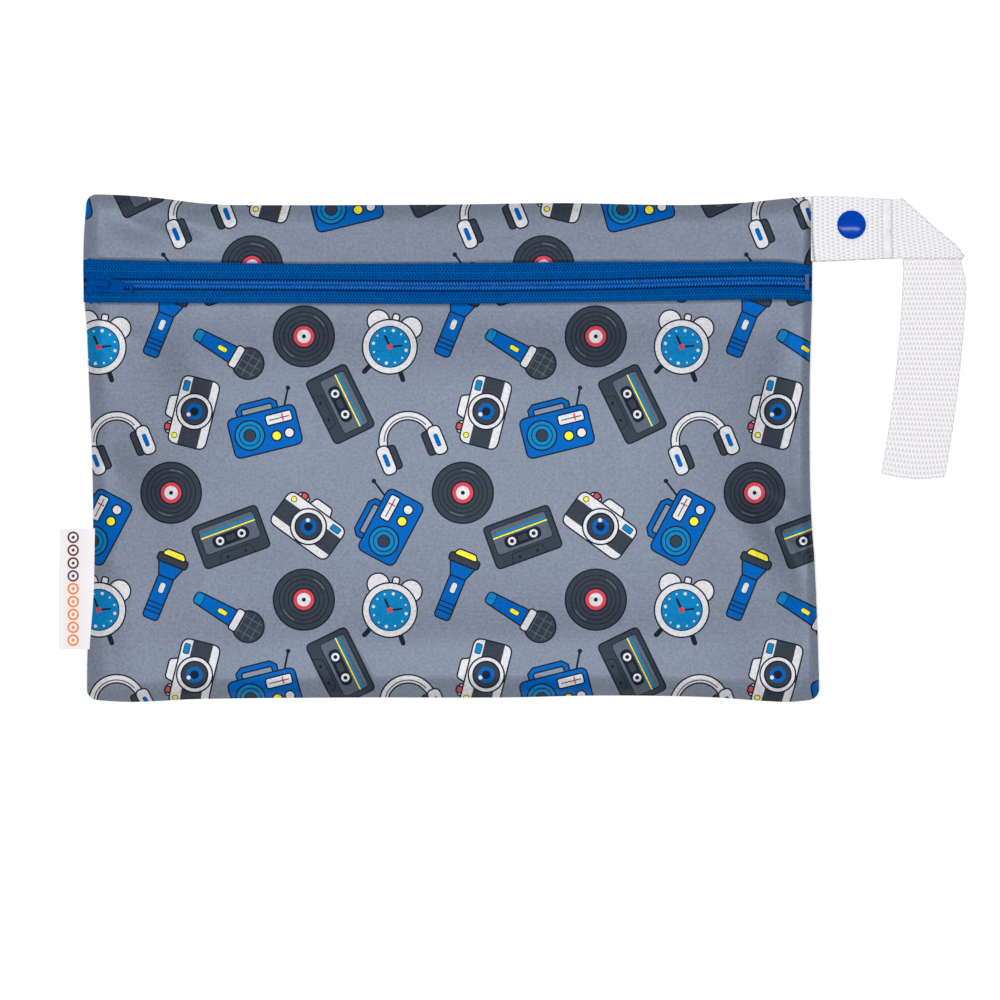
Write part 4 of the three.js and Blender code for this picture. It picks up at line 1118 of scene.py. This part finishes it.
def on_strip(s, t, n):
    """The point at s along the strip, t across it and n above its middle."""
    along, across, normal = Vector((1, 0, 0)), Vector((0, 1, 0)), Vector((0, 0, 1))
    origin = Vector((web_start, web_middle, layer_level(2)))
    for layer, (length, slant, radius, side) in enumerate(WEB_FOLDS):
        past = s - length - slant * t
        if radius == 0 or past <= 0:
            point = origin + along * s + across * t + normal * n
            break
        toward = (along - across * slant).normalized()
        reach, mean, taken = bend_of(layer)
        angle = past / math.hypot(1, slant) / mean
        if angle < math.pi:
            faced = Vector((radius * math.sin(angle), reach * math.cos(angle))).normalized()
            over = side * radius * (1 - math.cos(angle)) + faced.y * n
            out = reach * math.sin(angle) - side * faced.x * n
            crease = origin + along * (length + slant * t) + across * t
            point = crease + normal * over + toward * out
            break
        origin = origin + along * length + normal * side * 2 * radius
        along = along - toward * 2 * along.dot(toward)
        across = across - toward * 2 * across.dot(toward)
        normal = -normal
        s -= length + taken
    down = min(1, max(0, (web_middle - point.y) / WEB_DROP))
    hung = half_width + WEB_RUN
    drawn = WEB_DRAWN_IN * float(ease(down / 0.25))
    from_middle = min(WEB_WIDTH / 2, max(-WEB_WIDTH / 2, point.y - web_middle))
    point.y -= WEB_NARROWED * from_middle * float(ease((point.x - half_width) / (WEB_RUN - 8)))
    off_corner = math.hypot(point.x - hung - WEB_WIDTH / 2, point.y - web_middle + WEB_WIDTH / 2)
    point.x -= WEB_CORNER * math.exp(-((off_corner / 5) ** 2))
    past_corner = ease((web_middle + 2 - point.y) / 14) * ease((point.x - hung + 16) / 5)
    point.y -= WEB_BOW * (1 - (2 * t / WEB_WIDTH) ** 2) * float(ease((down - 0.8) / 0.2))
    point.y -= WEB_ASKEW * (point.x - hung + WEB_WIDTH / 2) * float(ease((down - 0.3) / 0.7))
    point.x = mix(point.x, hung, drawn) - WEB_SWAY * down**2 + WEB_SPREAD * float(past_corner)
    point.z += float(lift_at(point.x, layer))
    if layer > 2:
        point.z += 0.12 * math.sin(0.11 * point.x + 0.05 * point.y)
    return point


def strip_stations():
    """Places along the strip as (place, lean of the line across it), fine round the folds."""
    stations, start, lean = [], 0.0, 0.0
    for layer, (length, slant, radius, _) in enumerate(WEB_FOLDS):
        for share in np.arange(0, 1, STRIP_STEP / length):
            stations.append((start + length * share, mix(lean, slant, share)))
        start, lean = start + length, slant
        taken = bend_of(layer)[2]
        if radius:
            stations.extend((start + taken * share, lean) for share in np.arange(0, 1, 0.06))
            start += taken
    stations.append((start, lean))
    return stations


def handle():
    """The strip as a thin closed slab with rounded selvedges that scallop with each rib."""
    half = WEB_WIDTH / 2
    stations = strip_stations()
    profile = [(t, 0.5) for t in np.linspace(-half + 0.5, half - 0.5, 17)]
    profile += [(half - 0.15, 0.36), (half, 0), (half - 0.15, -0.36)]
    profile += [(-t, -n) for t, n in profile]
    points, uvs = [], []
    for s, lean in stations:
        scallop = 0.1 * math.cos(2 * math.pi * s / RIB_PITCH)
        pressed = 0.7 * float(ease((s - stations[-1][0] + WEB_MELTED) / WEB_MELTED))
        for t, n in profile:
            wide = t + math.copysign(scallop * max(0, abs(t) - half + 2) / 2, t)
            level = mix(n, -0.5, pressed) * WEB_THICKNESS
            points.append(on_strip(s + lean * wide, wide, level))
            uvs.append((s + lean * wide, wide))
    return tube("webbing_strip", points, len(profile), uvs)


def melted_end():
    """The heat-sealed end of the strip: a flat glassy band that thins out to both sides."""
    end = strip_stations()[-1][0]
    sides = 14
    points = []
    for t in np.linspace(-WEB_WIDTH / 2 + 0.2, WEB_WIDTH / 2 - 0.2, 60):
        swell = 1 + 0.07 * math.sin(1.9 * t) + 0.05 * math.sin(4.3 * t + 1)
        centre = on_strip(end - WEB_MELTED / 2 + 0.2 * math.sin(1.1 * t), t, 0.02)
        for turn in full_turn(sides):
            out = Vector((math.cos(turn) * (WEB_MELTED / 2 + 0.25) * swell, 0, math.sin(turn) * 0.5))
            points.append(centre + out)
    return tube("webbing_melted_end", points, sides)


strip = dress(handle(), [webbing_weave()], ["handle_strap"])
bead = dress(melted_end(), [enamel("melted_webbing", MELTED_WHITE, 0.3, gloss=0.05)], [])


# The snap


def turned(name, profile):
    """A round solid about the snap's axis from (radius, height) points that start and end on the axis."""
    (_, low), *rings, (_, high) = profile
    turns = full_turn(72)
    points = [(snap_x, snap_y, low)]
    for r, z in rings:
        points.extend((snap_x + r * math.cos(turn), snap_y + r * math.sin(turn), z) for turn in turns)
    points.append((snap_x, snap_y, high))
    steps, last = len(turns), len(points) - 1
    faces = [(0, 1 + (k + 1) % steps, 1 + k) for k in range(steps)]
    faces += [f[::-1] for f in grid_faces(len(rings), steps, closed=True, start=1)]
    faces += [(last - steps + k, last - steps + (k + 1) % steps, last) for k in range(steps)]
    return smooth_by_angle(mesh_object(name, points, faces, smooth=False), 35)


snap_radius = SNAP_DIAMETER / 2
cap_level = back_at_snap + web_pitch + WEB_THICKNESS / 2 + GAP
cap_bottom = core_level + SNAP_CORE + GAP
core_radius = SNAP_CORE_DIAMETER / 2


def dome(level, height, flip=1):
    """The outer face of a cap, from its rim to its middle."""
    steps = ((1, 0.3), (1.0, 0.42), (0.985, 0.56), (0.95, 0.68), (0.9, 0.755), (0.84, 0.79), (0.7, 0.85))
    rim = [(snap_radius * r, level + flip * height * z) for r, z in steps]
    return rim + [(snap_radius * 0.4, level + flip * height * 0.94), (0, level + flip * height)]


snap_plastic = enamel("snap_resin", SNAP_BLUE, 0.09, gloss=0.03, grain=0.004)
cap_profile = [(0, cap_bottom), (SNAP_POST, cap_bottom), (SNAP_POST, cap_level)]
cap_profile += [(snap_radius * 0.93, cap_level), *dome(cap_level, SNAP_CAP)]
# The middle from its underside up: (in from its rim, height)
CORE_STEPS = (
    (0.3, 0), (0, 0.3), (0, 1.1), (0.4, 1.3), (0.4, 1.6), (0, 1.8), (0, SNAP_CORE - 0.3), (0.3, SNAP_CORE),
)
core_profile = [(core_radius - inset, core_level + up) for inset, up in CORE_STEPS]
core_profile = [(0, core_level), *core_profile, (0, core_level + SNAP_CORE)]
back_profile = [*reversed(dome(SNAP_CAP, SNAP_CAP, -1))]
back_profile += [(snap_radius * 0.93, SNAP_CAP), (SNAP_POST, SNAP_CAP)]
back_profile += [(SNAP_POST, core_level - GAP), (0, core_level - GAP)]
for name, profile, node in (
    ("snap_top", cap_profile, "snap_cap"),
    ("snap_middle", core_profile, "snap_core"),
    ("snap_bottom", back_profile, "snap_back_cap"),
):
    dress(turned(name, profile), [snap_plastic], [node])


# The label


def label():
    """Satin folded in two and pressed, leaving the seam and sinking to the floor."""
    middle_y = -half_length + LABEL_SETBACK + LABEL_WIDTH / 2
    seam = float(left_line(middle_y))
    turns = np.linspace(-math.pi / 2, math.pi / 2, 9)
    rows_out = np.linspace(0, 1, 22)
    points, uvs = [], []
    columns = np.linspace(-0.5, 0.5, 25)
    path = [(share, -1, 0) for share in rows_out]
    path += [(1, math.sin(turn), math.cos(turn)) for turn in turns[1:-1]]
    path += [(share, 1, 0) for share in rows_out[::-1]]
    for share, side, out in path:
        for column in columns:
            y = middle_y + column * LABEL_WIDTH
            reach = LABEL_REACH - 0.35 + 0.5 * (0.5 - column)
            x = mix(seam + SEWN_IN - 0.6, seam - reach, share)
            sunk = float(ease((seam - GAP - x) / LABEL_REACH))
            middle = mix(SEAM_HEIGHT, LABEL_THICKNESS / 2 + 0.1, sunk)
            ripple = 0.16 * math.sin(9 * column + 1) * share + 0.1 * math.sin(15 * column) * share
            half = mix(LABEL_THICKNESS / 2, 0.34, ease((share - 0.7) / 0.3))
            points.append((x - 0.35 * out, y, middle + max(0, ripple + 0.1) + side * half))
            uvs.append((seam - x, side * (y - middle_y)))
    faces = [face[::-1] for face in grid_faces(len(path), len(columns))]
    return mesh_object("label_ribbon", points, faces, uvs=uvs)


ribbon = dress(label(), [satin()], ["side_label"])


# Floor, light and camera

FLOOR = 3000
floor_corners = [(x * FLOOR, y * FLOOR, -0.3) for x, y in ((-1, -1), (1, -1), (1, 1), (-1, 1))]
floor = mesh_object("studio_floor", floor_corners, [(0, 1, 2, 3)])
paper = Graph("studio_paper", (255, 255, 255), Roughness=0.9, Specular_IOR_Level=0.0)
paper.set("Emission Color", (1, 1, 1, 1))
paper.set("Emission Strength", 0.08)
floor.data.materials.append(paper.material)


# Lights: (name, place and size in metres, watts)
for name, place_m, size_m, watts in (
    ("front_light", (0, 0, 3.2), (1.6, 0.15), 74),
    ("top_light", (-0.5, 1.4, 2.2), (1.6, 1.2), 8),
    ("low_light", (-0.6, -0.9, 0.8), (0.1, 0.1), 0.9),
):
    light = bpy.data.lights.new(name, "AREA")
    light.shape, light.size, light.size_y, light.energy = "RECTANGLE", *size_m, watts
    lamp = linked(name, light)
    lamp.location = place_m
    lamp.rotation_euler = (-Vector(place_m)).to_track_quat("-Z", "Y").to_euler()

world = bpy.data.worlds.new("studio")
world.use_nodes = True
world.node_tree.nodes["Background"].inputs["Color"].default_value = (1, 1, 1, 1)
world.node_tree.nodes["Background"].inputs["Strength"].default_value = 0.3
bpy.context.scene.world = world
bpy.context.scene.view_settings.view_transform = "Standard"

PIXEL = 0.385  # millimetres that one pixel of the photograph covers
PHOTO_CENTRE = (450, 451.25)  # the pixel that the frame's origin is at
LENS = 200
SENSOR = 36
camera_data = bpy.data.cameras.new("camera")
camera_data.lens, camera_data.sensor_width = LENS, SENSOR
viewer = linked("camera", camera_data)
viewer.location = (
    (500 - PHOTO_CENTRE[0]) * PIXEL * MM,
    (PHOTO_CENTRE[1] - 500) * PIXEL * MM,
    1000 * PIXEL * MM * LENS / SENSOR + SEAM_HEIGHT * MM,
)
bpy.context.scene.camera = viewer

bpy.context.view_layer.update()
